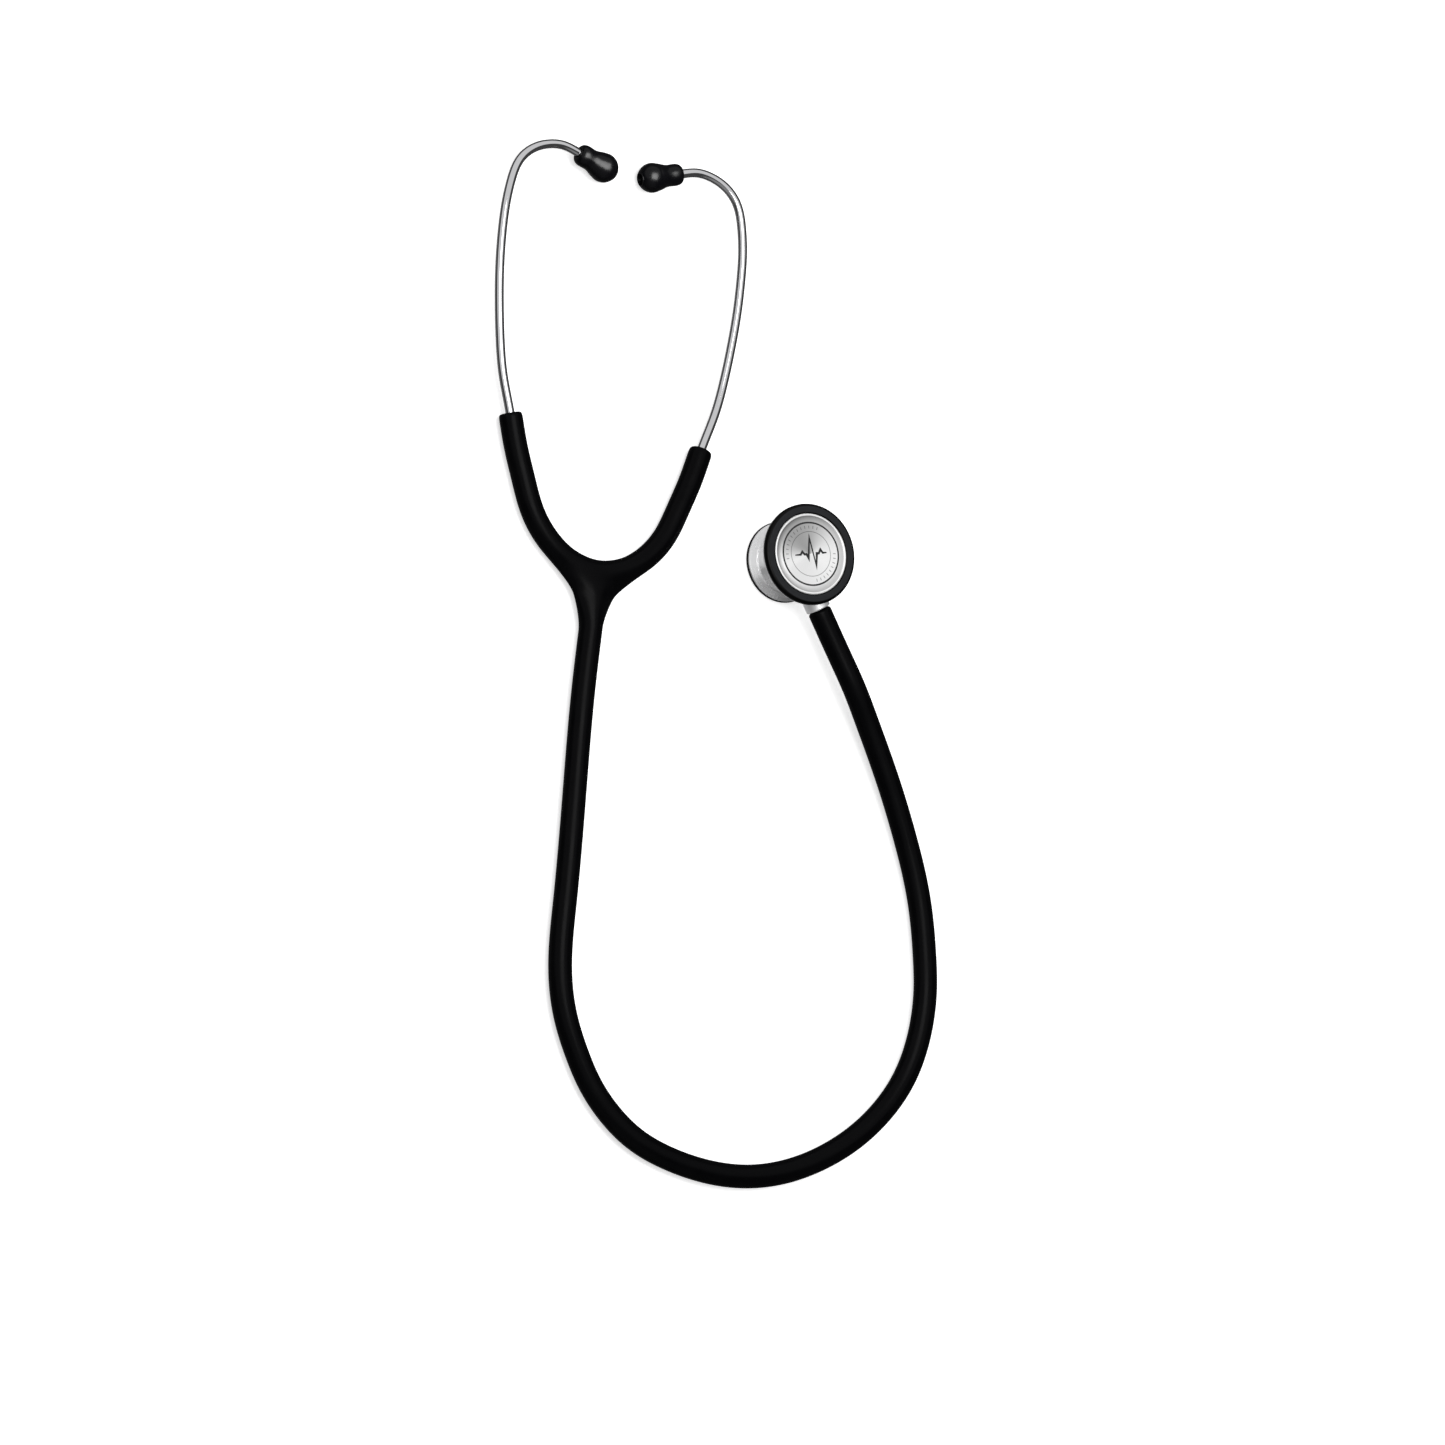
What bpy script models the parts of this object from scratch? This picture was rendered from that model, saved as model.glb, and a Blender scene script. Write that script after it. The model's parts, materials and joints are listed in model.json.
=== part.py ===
"""Double-headed acoustic stethoscope, laid out flat.

The headset, the tubing and the chestpiece lie on one table, bell down and
diaphragm up.  Every size below is in millimetres.  Points named for the right
side are mirrored for the left.  The layout's own zero is on the headset's
centre line, level with the bottom of the yoke's U; the root empty moves it so
that the object stands on the centre of its own footprint.
"""
import math

import bmesh
import bpy
import numpy as np
from mathutils import Matrix, Vector

MM = 0.001

# Layout: the footprint's centre, without the free tube
FOOTPRINT_CENTRE = (28.92, 80.6)

# Y-shaped tubing
TUBE_R = 5.25
LUMEN_R = 2.3
GAP = 0.3
YOKE_HALF = [
    (0.0, -1.3, 5.25),
    (24.6, 9.9, 5.25),
    (33.7, 21.9, 5.25),
    (38.8, 34.5, 5.25),
    (43.8, 48.0, 5.25),
    (47.9, 62.5, 5.3),
]
EAR_TUBE_HALF = [
    (53.0, 78.9, 5.6),
    (56.1, 94.5, 6.1),
    (58.2, 110.4, 6.6),
    (59.6, 126.3, 7.1),
    (60.0, 142.4, 7.6),
    (59.6, 153.2, 8.0),
    (58.1, 164.1, 8.2),
    (54.2, 175.3, 8.4),
    (48.7, 180.8, 8.5),
    (40.3, 184.4, 8.4),
    (33.7, 185.0, 8.3),
]
PIVOT_DISTANCE = 36.0
WEB_HALF_WIDTHS = [
    (24.0, 6.5),
    (17.0, -2.0),
    (11.8, -8.3),
    (9.0, -11.8),
    (7.2, -16.5),
    (5.4, -22.0),
]
WEB_THICKNESS = 8.4
WEB_EDGE = 2.6
NECK_END = -26.5
ARM_LIP = 2.0

# Ear tubes and what holds them in the tubing
EAR_TUBE_R = 2.0
EAR_TUBE_BORE_R = 1.3
EAR_TUBE_DEPTH = 14.0
BEND_POINT = 6
FERRULE_R = 3.2
FERRULE_LENGTH = 10.0
SPRING_HEIGHT = 3.0
SPRING_THICKNESS = 0.5

# Ear tips, measured along their own axis from the neck's end
TIP_BASE = (25.8, 183.1, 8.0)
TIP_CENTRE = (12.2, 179.1, 6.65)
TIP_R = 6.6
TIP_NECK_R = 5.0
TIP_SOUND_R = 1.3
TIP_MOUTH_R = 3.0
TIP_SOCKET_R = 3.1
INSERT_R = 2.8
INSERT_SPAN = (1.5, 9.3)
INSERT_RIDGES = 4
TUBE_INTO_TIP = 5.0

# Chestpiece: its axis, and the stem's height and heading
CHEST_AXIS = (95.2, 20.6)
STEM_HEIGHT = 12.5
STEM_HEADING = math.radians(-57.0)
RIM_R = 22.5
RIM_TOP = 26.4
RIM_OPENING_R = 18.0
DIAPHRAGM_Z = 26.1
DIAPHRAGM_FLAT_R = 14.0
DIAPHRAGM_WALL = 0.45
BELL_R = 18.05
SOUND_CHANNEL_R = 1.5
BOSS_R = 5.4
BOSS_END = 15.0
STEM_BORE_R = 3.7
STEM_BORE_START = -4.2

# Stem, measured outwards from the chestpiece's axis
STEM_R = 5.2
JOURNAL_R = 3.4
JOURNAL_START = -3.6
JOURNAL_END = 15.3
COLLAR_END = 26.1
BARB_R = 2.9
BARB_END = 42.0
STEM_CHANNEL_R = 1.3
O_RING_PLACE = 10.5
O_RING_WIRE_R = 0.45
O_RING_R = 3.05

# Spring-loaded ball that holds the chestpiece on its stem
DETENT_PLACE = 5.0
DETENT_BALL_R = 0.95
DETENT_BALL_OUT = 3.65
DETENT_BORE_R = 1.3
DETENT_SPRING_SPAN = (4.75, 6.0)
DETENT_SPRING_R = 0.75
DETENT_WIRE_R = 0.16
DETENT_SPRING_TURNS = 2.5
DETENT_SCREW_SPAN = (6.3, 7.2)

# Tube end that is stretched over the stem's barb, and the free tube
CUFF_START = 26.4
CUFF_LENGTH = 22.0
CUFF_BORE_R = 3.3
TUBE_ROUTE = [
    (0.0, -26.8, 5.25),
    (-1.2, -53.5, 5.25),
    (-1.6, -93.9, 5.25),
    (-2.1, -147.8, 5.25),
    (-2.3, -171.0, 5.25),
    (-0.2, -187.9, 5.25),
    (3.7, -200.7, 5.25),
    (9.6, -213.2, 5.25),
    (17.1, -225.4, 5.25),
    (28.0, -237.1, 5.25),
    (41.5, -246.3, 5.25),
    (58.0, -252.1, 5.25),
    (78.0, -255.2, 5.25),
    (98.7, -254.4, 5.25),
    (120.0, -248.4, 5.25),
    (137.8, -239.0, 5.25),
    (152.5, -227.6, 5.25),
    (164.2, -214.6, 5.25),
    (173.0, -200.0, 5.25),
    (177.9, -185.7, 5.25),
    (180.2, -171.8, 5.25),
    (180.5, -158.3, 5.25),
    (179.1, -145.2, 5.25),
    (173.9, -119.1, 5.3),
    (164.5, -93.8, 6.0),
    (152.3, -69.2, 7.8),
    (137.9, -44.9, 10.4),
]
TUBE_STEP = 13.0

ROUND_SIDES = 28
SMALL_SIDES = 14


class Route:
    """A smooth curve through its points, read by the distance along it."""

    def __init__(self, points):
        self.points = np.array(points, dtype=float)
        chords = np.linalg.norm(np.diff(self.points, axis=0), axis=1)
        self.knots = np.concatenate(([0.0], np.cumsum(chords)))
        self.bends = self.solve_bends(chords)
        self.fine = np.linspace(0.0, self.knots[-1], 3001)
        places = np.array([self.read(value) for value in self.fine])
        steps = np.linalg.norm(np.diff(places, axis=0), axis=1)
        self.travelled = np.concatenate(([0.0], np.cumsum(steps)))
        self.length = self.travelled[-1]

    def solve_bends(self, chords):
        """Second derivatives that join the cubic pieces without a kink."""
        count = len(self.points)
        system = np.eye(count)
        target = np.zeros_like(self.points)
        slopes = np.diff(self.points, axis=0) / chords[:, None]
        for i in range(1, count - 1):
            system[i, i - 1] = chords[i - 1]
            system[i, i] = 2.0 * (chords[i - 1] + chords[i])
            system[i, i + 1] = chords[i]
            target[i] = 6.0 * (slopes[i] - slopes[i - 1])
        return np.linalg.solve(system, target)

    def read(self, value):
        i = int(np.searchsorted(self.knots, value, side="right")) - 1
        i = min(max(i, 0), len(self.points) - 2)
        width = self.knots[i + 1] - self.knots[i]
        after = (value - self.knots[i]) / width
        before = 1.0 - after
        straight = before * self.points[i] + after * self.points[i + 1]
        bend_before = (before ** 3 - before) * self.bends[i]
        bend_after = (after ** 3 - after) * self.bends[i + 1]
        return straight + (bend_before + bend_after) * width ** 2 / 6.0

    def at(self, distance):
        value = np.interp(distance, self.travelled, self.fine)
        return Vector(self.read(value))

    def heading(self, distance):
        reach = 0.2
        ahead = self.at(min(distance + reach, self.length))
        behind = self.at(max(distance - reach, 0.0))
        return (ahead - behind).normalized()


def clear_scene():
    for item in list(bpy.data.objects):
        bpy.data.objects.remove(item, do_unlink=True)


def make_material(name, colour, roughness, metallic):
    material = bpy.data.materials.new(name)
    material.use_nodes = True
    shader = material.node_tree.nodes["Principled BSDF"]
    shader.inputs["Base Color"].default_value = (*colour, 1.0)
    shader.inputs["Roughness"].default_value = roughness
    shader.inputs["Metallic"].default_value = metallic
    return material


def black_tubing(name):
    return make_material(name, (0.012, 0.012, 0.013), 0.42, 0.0)


def soft_black(name):
    return make_material(name, (0.008, 0.008, 0.009), 0.3, 0.0)


def polished_steel(name):
    return make_material(name, (0.78, 0.78, 0.77), 0.12, 1.0)


def spring_steel(name):
    return make_material(name, (0.45, 0.46, 0.48), 0.3, 1.0)


def pale_resin(name):
    return make_material(name, (0.62, 0.62, 0.61), 0.35, 0.0)


def add_empty(name, place, parent=None):
    empty = bpy.data.objects.new(name, None)
    bpy.context.collection.objects.link(empty)
    empty.parent = parent
    empty.location = Vector(place) * MM
    return empty


def add_object(name, mesh, finish, parent):
    """Give the mesh an object and its own material, faces all pointing out."""
    work = bmesh.new()
    work.from_mesh(mesh)
    bmesh.ops.recalc_face_normals(work, faces=work.faces)
    if work.calc_volume(signed=True) < 0.0:
        bmesh.ops.reverse_faces(work, faces=work.faces)
    work.to_mesh(mesh)
    work.free()
    mesh.shade_smooth()
    mesh.set_sharp_from_angle(angle=math.radians(35.0))
    mesh.materials.append(finish(name))
    item = bpy.data.objects.new(name, mesh)
    bpy.context.collection.objects.link(item)
    item.parent = parent
    return item


def add_cutter(name, mesh, parent):
    item = add_object(name, mesh, spring_steel, parent)
    item.hide_render = True
    item.display_type = "WIRE"
    return item


def cut(item, cutter, operation="DIFFERENCE"):
    modifier = item.modifiers.new(cutter.name, "BOOLEAN")
    modifier.operation = operation
    modifier.solver = "EXACT"
    modifier.object = cutter


def mesh_from_rings(name, rings, closed_row=False):
    """Skin a row of rings; a single point closes an end, a row may join up."""
    vertices = []
    starts = []
    for ring in rings:
        starts.append(len(vertices))
        vertices.extend(ring)
    faces = []
    pairs = list(zip(range(len(rings) - 1), range(1, len(rings))))
    if closed_row:
        pairs.append((len(rings) - 1, 0))
    for near, far in pairs:
        a, b = starts[near], starts[far]
        near_count, far_count = len(rings[near]), len(rings[far])
        sides = max(near_count, far_count)
        for i in range(sides):
            j = (i + 1) % sides
            corners = [a + i % near_count, a + j % near_count]
            corners += [b + j % far_count, b + i % far_count]
            faces.append(list(dict.fromkeys(corners)))
    mesh = bpy.data.meshes.new(name)
    mesh.from_pydata([tuple(v * MM) for v in vertices], [], faces)
    return mesh


def turned_mesh(name, profile, sides=ROUND_SIDES):
    """Turn (radius, height) points about Z; the ends may lie on the axis."""
    rings = []
    for radius, height in profile:
        if radius == 0.0:
            rings.append([Vector((0.0, 0.0, height))])
            continue
        ring = []
        for i in range(sides):
            angle = 2.0 * math.pi * (i + 0.5) / sides
            ring.append(Vector((radius * math.cos(angle), radius * math.sin(angle), height)))
        rings.append(ring)
    return mesh_from_rings(name, rings, closed_row=profile[0][0] > 0.0)


def ring_across(centre, heading, width, height, sides):
    """A round or flat loop of points square to the heading."""
    side = heading.cross(Vector((0.0, 0.0, 1.0))).normalized()
    up = side.cross(heading)
    ring = []
    for i in range(sides):
        angle = 2.0 * math.pi * (i + 0.5) / sides
        ring.append(centre + side * width * math.cos(angle) + up * height * math.sin(angle))
    return ring


def swept_mesh(name, stations, sides=SMALL_SIDES):
    """Sweep round sections along stations of (centre, heading, outer, inner)."""
    outside = [ring_across(c, h, outer, outer, sides) for c, h, outer, inner in stations]
    inside = [ring_across(c, h, inner, inner, sides) for c, h, outer, inner in stations if inner]
    if inside:
        return mesh_from_rings(name, outside + inside[::-1], closed_row=True)
    first, last = stations[0][0], stations[-1][0]
    return mesh_from_rings(name, [[first]] + outside + [[last]])


def mirrored(vector):
    return Vector((-vector.x, vector.y, vector.z))


def place_in_layout(mesh, parent_place):
    mesh.transform(Matrix.Translation(-Vector(parent_place) * MM))


def aim(item, direction):
    item.rotation_mode = "QUATERNION"
    item.rotation_quaternion = direction.to_track_quat("Z", "Y")


def headset_route():
    """The left ear tube's end, down one arm, round the U and up the other."""
    tip_end = Vector(TIP_BASE).lerp(Vector(TIP_CENTRE), 0.42)
    right = YOKE_HALF + EAR_TUBE_HALF + [TIP_BASE, tuple(tip_end)]
    left = [(-x, y, z) for x, y, z in right[:0:-1]]
    return Route(left + right)


def distance_to(route, place):
    """How far beyond the U's middle the route passes nearest to the place."""
    middle = route.length / 2.0
    steps = np.arange(0.0, middle, 0.25)
    gaps = [(route.at(middle + step) - Vector(place)).length for step in steps]
    return float(steps[int(np.argmin(gaps))])


def side_stations(route, side, distances, outer, inner):
    """Stations on one side of the headset, by distance from the U's middle."""
    stations = []
    for distance in distances:
        centre = route.at(route.length / 2.0 + distance)
        heading = route.heading(route.length / 2.0 + distance)
        if side < 0:
            centre, heading = mirrored(centre), mirrored(heading)
        stations.append((centre, heading, outer(distance), inner(distance)))
    return stations


def build_yoke(route, layout):
    """The U, its web and its neck, moulded in one, with the sound's way cut through."""
    middle = route.length / 2.0
    reach = PIVOT_DISTANCE - TUBE_R - GAP
    spots = np.linspace(-reach, reach, 13)
    stations = [(route.at(middle + s), route.heading(middle + s), TUBE_R, 0.0) for s in spots]
    yoke = add_object("yoke", swept_mesh("yoke", stations, 20), black_tubing, layout)
    web = add_cutter("web_form", web_mesh(), layout)
    bevel = web.modifiers.new("round_edges", "BEVEL")
    bevel.width = WEB_EDGE * MM
    bevel.segments = 3
    bevel.limit_method = "ANGLE"
    bevel.angle_limit = math.radians(60.0)
    cut(yoke, web, "UNION")
    down = Vector((0.0, -1.0, 0.0))
    neck = []
    for y in (-6.0, -16.0, NECK_END):
        neck.append((Vector((0.0, y, TUBE_R)), down, TUBE_R, 0.0))
    cut(yoke, add_cutter("neck_form", swept_mesh("neck_form", neck, 20), layout), "UNION")
    spots = np.linspace(-reach - 3.0, reach + 3.0, 14)
    lumen = [(route.at(middle + s), route.heading(middle + s), LUMEN_R, 0.0) for s in spots]
    cut(yoke, add_cutter("u_lumen", swept_mesh("u_lumen", lumen, 12), layout))
    drop = [(Vector((0.0, y, TUBE_R)), down, LUMEN_R, 0.0) for y in (-1.2, NECK_END - 3.0)]
    cut(yoke, add_cutter("neck_lumen", swept_mesh("neck_lumen", drop, 12), layout))


def web_mesh():
    """The flattened triangle between the U and the neck, as a thick plate."""
    right = WEB_HALF_WIDTHS
    left = [(-x, y) for x, y in right[::-1]]
    outline = right + left + [(-13.0, 1.6), (0.0, -1.3), (13.0, 1.6)]
    low = TUBE_R - WEB_THICKNESS / 2.0
    work = bmesh.new()
    corners = [work.verts.new((x * MM, y * MM, low * MM)) for x, y in outline]
    plate = work.faces.new(corners)
    grown = bmesh.ops.extrude_face_region(work, geom=[plate])
    raised = [v for v in grown["geom"] if isinstance(v, bmesh.types.BMVert)]
    bmesh.ops.translate(work, verts=raised, vec=(0.0, 0.0, WEB_THICKNESS * MM))
    mesh = bpy.data.meshes.new("web_form")
    work.to_mesh(mesh)
    work.free()
    return mesh


def build_arm(route, side, name, pivot, pivot_place):
    """An arm of the Y: ball-ended at its pivot, chambered for the ferrule."""
    end = distance_to(route, YOKE_HALF[-1])
    chamber = (end - ARM_LIP - FERRULE_LENGTH - 2 * GAP, end - ARM_LIP)

    def outer(distance):
        before_pivot = PIVOT_DISTANCE - distance
        if before_pivot > 0.0:
            return math.sqrt(TUBE_R ** 2 - before_pivot ** 2)
        return min(TUBE_R, TUBE_R - 1.2 + 1.5 * (end - distance))

    def inner(distance):
        if chamber[0] < distance < chamber[1]:
            return FERRULE_R + GAP
        return LUMEN_R

    start = PIVOT_DISTANCE - math.sqrt(TUBE_R ** 2 - (LUMEN_R + 0.25) ** 2)
    spots = [start, start + 0.7, start + 1.8, start + 3.2, PIVOT_DISTANCE]
    spots += list(np.linspace(PIVOT_DISTANCE, chamber[0], 7)[1:])
    spots += [chamber[0] + 0.05, chamber[0] + FERRULE_LENGTH / 2.0, chamber[1] - 0.05, chamber[1]]
    spots += [end - 0.8, end]
    mesh = swept_mesh(name, side_stations(route, side, spots, outer, inner))
    place_in_layout(mesh, pivot_place)
    add_object(name, mesh, black_tubing, pivot)


def build_ear_tube(route, side, name, pivot, pivot_place):
    start = distance_to(route, YOKE_HALF[-1]) - EAR_TUBE_DEPTH
    end = distance_to(route, TIP_BASE) + TUBE_INTO_TIP
    bend = distance_to(route, EAR_TUBE_HALF[BEND_POINT])
    spots = list(np.linspace(start, bend, 12))
    spots += list(np.linspace(bend, end, 13)[1:])
    stations = side_stations(route, side, spots, lambda s: EAR_TUBE_R, lambda s: EAR_TUBE_BORE_R)
    mesh = swept_mesh(name, stations, 10)
    place_in_layout(mesh, pivot_place)
    add_object(name, mesh, polished_steel, pivot)


def build_ferrule(route, side, name, pivot, pivot_place):
    """Hard sleeve on the ear tube's foot, locked inside the soft arm."""
    end = distance_to(route, YOKE_HALF[-1]) - ARM_LIP - GAP
    bore = EAR_TUBE_R + GAP

    def outer(distance):
        ridge = abs(distance - end + FERRULE_LENGTH / 2.0) < FERRULE_LENGTH / 5.0
        return FERRULE_R - 0.5 if ridge else FERRULE_R

    third = FERRULE_LENGTH / 3.0
    spots = [end - FERRULE_LENGTH, end - 2 * third, end - 2 * third + 0.6]
    spots += [end - third - 0.6, end - third, end]
    mesh = swept_mesh(name, side_stations(route, side, spots, outer, lambda s: bore), 12)
    place_in_layout(mesh, pivot_place)
    add_object(name, mesh, pale_resin, pivot)


def build_leaf_spring(route, layout):
    """Flat steel bow inside the tubing that presses the ear tubes together."""
    middle = route.length / 2.0
    foot = distance_to(route, YOKE_HALF[-1]) - EAR_TUBE_DEPTH - 2 * GAP
    rings = []
    for distance in np.linspace(-foot, foot, 29):
        centre = route.at(middle + distance)
        heading = route.heading(middle + distance)
        side = heading.cross(Vector((0.0, 0.0, 1.0))).normalized() * SPRING_THICKNESS / 2.0
        up = Vector((0.0, 0.0, SPRING_HEIGHT / 2.0))
        rings.append([centre + side + up, centre - side + up, centre - side - up, centre + side - up])
    ends = [[sum(rings[0], Vector()) / 4.0]], [[sum(rings[-1], Vector()) / 4.0]]
    mesh = mesh_from_rings("leaf_spring", ends[0] + rings + ends[1])
    add_object("leaf_spring", mesh, spring_steel, layout)


def tip_profile():
    """The mushroom ear tip: soft neck, round bulb, trumpet mouth, screw socket."""
    middle = (Vector(TIP_CENTRE) - Vector(TIP_BASE)).length
    bulb = []
    for degrees in (-50, -25, 0, 22, 44, 62):
        angle = math.radians(degrees)
        along = middle + (TIP_R - 0.3) * math.sin(angle)
        bulb.append((TIP_R * math.cos(angle), along))
    front = middle + TIP_R * 0.87
    socket = (INSERT_SPAN[0] - GAP, INSERT_SPAN[1] + GAP)
    outside = [(TIP_NECK_R - 0.5, 0.0), (TIP_NECK_R, 0.5), (TIP_NECK_R, 4.0), (TIP_NECK_R - 0.2, 6.5)]
    outside += bulb + [(TIP_MOUTH_R + 0.4, front)]
    mouth = [(TIP_MOUTH_R, front - 0.3), (TIP_SOUND_R + 0.5, front - 2.6), (TIP_SOUND_R, front - 4.5)]
    bore = [(TIP_SOUND_R, socket[1]), (TIP_SOCKET_R, socket[1]), (TIP_SOCKET_R, socket[0])]
    return outside + mouth + bore + [(LUMEN_R, socket[0]), (LUMEN_R, 0.0)]


def insert_profile():
    """Threaded end piece brazed to the ear tube, that the soft tip screws onto."""
    start, end = INSERT_SPAN
    pitch = (end - start) / INSERT_RIDGES
    outside = []
    for i in range(INSERT_RIDGES):
        low = start + i * pitch
        outside += [(INSERT_R - 0.4, low), (INSERT_R, low + pitch * 0.35), (INSERT_R, low + pitch * 0.65)]
    outside.append((INSERT_R - 0.4, end))
    step = TUBE_INTO_TIP + GAP
    bore = EAR_TUBE_R + GAP
    return outside + [(EAR_TUBE_BORE_R, end), (EAR_TUBE_BORE_R, step), (bore, step), (bore, start)]


def build_tip(side, prefix, pivot, pivot_place, layout):
    base, centre = Vector(TIP_BASE), Vector(TIP_CENTRE)
    if side < 0:
        base, centre = mirrored(base), mirrored(centre)
    direction = (centre - base).normalized()
    tip = add_object(prefix + "_eartip", turned_mesh("eartip", tip_profile(), 20), soft_black, layout)
    tip.location = base * MM
    aim(tip, direction)
    mesh = turned_mesh("tip_insert", insert_profile(), 12)
    insert = add_object(prefix + "_tip_insert", mesh, polished_steel, pivot)
    insert.location = (base - Vector(pivot_place)) * MM
    aim(insert, direction)


def build_headset(layout):
    route = headset_route()
    build_yoke(route, layout)
    build_leaf_spring(route, layout)
    for side, prefix in ((-1, "left"), (1, "right")):
        place = route.at(route.length / 2.0 + PIVOT_DISTANCE)
        if side < 0:
            place = mirrored(place)
        pivot = add_empty(prefix + "_arm_pivot", place, layout)
        build_arm(route, side, prefix + "_yoke_arm", pivot, place)
        build_ferrule(route, side, prefix + "_tube_ferrule", pivot, place)
        build_ear_tube(route, side, prefix + "_ear_tube", pivot, place)
        build_tip(side, prefix, pivot, place, layout)


def chestpiece_profile():
    """Bell cup, sound channel and diaphragm dish, then back down the outside."""
    bell_cup = [(16.1, 0.75), (15.6, 2.4), (14.0, 4.4), (11.0, 6.2), (7.0, 7.2), (2.2, 7.8)]
    channel = [(SOUND_CHANNEL_R, 8.0), (SOUND_CHANNEL_R, 20.3)]
    dish = [(3.0, 20.6), (16.8, 22.6), (18.3, 23.4), (18.3, 24.6)]
    rim_seat = [(20.55, 24.6), (20.85, 24.35), (20.85, 24.15), (20.4, 23.95), (20.4, 23.1)]
    lip = [(21.7, 23.1), (22.0, 22.8), (22.0, 22.2), (21.6, 21.8)]
    back = [(18.0, 20.9), (14.0, 19.6), (11.3, 17.9), (9.8, 15.8), (9.2, 13.4), (9.2, 11.6)]
    flare = [(9.9, 9.4), (11.4, 7.3), (13.6, 5.2), (16.0, 3.2), (17.3, 2.3), (17.7, 1.95), (17.7, 1.6)]
    spigot = [(16.9, 1.6), (16.9, 0.75)]
    return bell_cup + channel + dish + rim_seat + lip + back + flare + spigot


def round_bar(start, end, radius, sides=24):
    """A plain closed bar along +Z."""
    profile = [(0.0, start), (radius, start), (radius, end), (0.0, end)]
    return turned_mesh("bar", profile, sides)


def build_chestpiece(stem_axis):
    below = (0.0, 0.0, -STEM_HEIGHT * MM)
    across = Matrix.Rotation(math.radians(90.0), 4, "Y")
    body_mesh = turned_mesh("chestpiece_body", chestpiece_profile())
    body = add_object("chestpiece_body", body_mesh, polished_steel, stem_axis)
    body.location = below
    boss_mesh = round_bar(4.0, BOSS_END, BOSS_R)
    boss_mesh.transform(across)
    cut(body, add_cutter("boss_form", boss_mesh, stem_axis), "UNION")
    sideways = Matrix.Rotation(math.radians(-90.0), 4, "X")
    hole = round_bar(1.0, 12.0, DETENT_BORE_R, 12)
    hole.transform(Matrix.Translation((DETENT_PLACE * MM, 0.0, 0.0)) @ sideways)
    cut(body, add_cutter("detent_bore", hole, stem_axis))
    bore_mesh = round_bar(STEM_BORE_START, BOSS_END + 8.0, STEM_BORE_R, 20)
    bore_mesh.transform(across)
    cut(body, add_cutter("stem_bore", bore_mesh, stem_axis))
    build_detent(stem_axis, sideways)
    build_rims(stem_axis, below)


def build_detent(stem_axis, sideways):
    """Ball, spring and grub screw that ride in the stem's groove."""
    place = Matrix.Translation((DETENT_PLACE * MM, 0.0, 0.0)) @ sideways
    arc = []
    for i in range(7):
        angle = math.pi * (i / 6.0 - 0.5)
        radius = DETENT_BALL_R * math.cos(angle) if 0 < i < 6 else 0.0
        arc.append((radius, DETENT_BALL_OUT + DETENT_BALL_R * math.sin(angle)))
    screw = [(0.0, DETENT_SCREW_SPAN[0]), (1.0, DETENT_SCREW_SPAN[0])]
    screw += [(1.0, DETENT_SCREW_SPAN[1]), (0.45, DETENT_SCREW_SPAN[1])]
    screw += [(0.45, DETENT_SCREW_SPAN[1] - 0.5), (0.0, DETENT_SCREW_SPAN[1] - 0.5)]
    meshes = {
        "detent_ball": turned_mesh("detent_ball", arc, 12),
        "detent_spring": detent_spring_mesh(),
        "detent_screw": turned_mesh("detent_screw", screw, 12),
    }
    for name, mesh in meshes.items():
        mesh.transform(place)
        add_object(name, mesh, spring_steel, stem_axis)


def detent_spring_mesh():
    low, high = DETENT_SPRING_SPAN
    low, high = low + DETENT_WIRE_R, high - DETENT_WIRE_R
    steps = int(DETENT_SPRING_TURNS * 10)
    rings = []
    for i in range(steps + 1):
        angle = 2.0 * math.pi * DETENT_SPRING_TURNS * i / steps
        outward = Vector((math.cos(angle), math.sin(angle), 0.0))
        centre = outward * DETENT_SPRING_R + Vector((0.0, 0.0, low + (high - low) * i / steps))
        ring = []
        for k in range(6):
            turn = 2.0 * math.pi * k / 6
            ring.append(centre + outward * DETENT_WIRE_R * math.cos(turn)
                        + Vector((0.0, 0.0, DETENT_WIRE_R * math.sin(turn))))
        rings.append(ring)
    first = sum(rings[0], Vector()) / 6.0
    last = sum(rings[-1], Vector()) / 6.0
    return mesh_from_rings("detent_spring", [[first]] + rings + [[last]])


def build_rims(stem_axis, below):
    """The soft rings on both faces, and the tunable diaphragm they leave free."""
    snap = [(RIM_OPENING_R, 25.75), (21.15, 25.75), (21.15, 23.85), (20.7, 23.65), (20.7, 23.4)]
    outside = [(22.1, 23.4), (RIM_R, 23.8), (RIM_R, 25.2), (22.2, 26.0), (21.5, RIM_TOP)]
    rim = snap + outside + [(18.5, RIM_TOP), (RIM_OPENING_R + 0.05, 26.15)]
    bell = [(16.0, 0.0), (17.6, 0.0), (BELL_R, 0.4), (BELL_R, 1.0), (17.8, 1.3), (17.2, 1.3)]
    bell += [(17.2, 0.45), (16.0, 0.45)]
    top = [(0.0, DIAPHRAGM_Z), (DIAPHRAGM_FLAT_R, DIAPHRAGM_Z), (14.6, 25.95), (15.8, 25.8)]
    top += [(16.9, 25.95), (17.3, DIAPHRAGM_Z), (17.7, 26.0), (17.7, 25.4), (20.5, 25.4)]
    thin = DIAPHRAGM_WALL
    under = [(20.5, 25.0), (17.25, 25.0), (16.9, 25.95 - thin), (15.8, 25.8 - thin)]
    under += [(14.6, 25.95 - thin), (DIAPHRAGM_FLAT_R, DIAPHRAGM_Z - thin), (0.0, DIAPHRAGM_Z - thin)]
    pieces = (
        ("diaphragm_rim", rim, soft_black),
        ("bell_rim", bell, soft_black),
        ("diaphragm", top + under, pale_resin),
    )
    for name, profile, finish in pieces:
        item = add_object(name, turned_mesh(name, profile), finish, stem_axis)
        item.location = below


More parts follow.
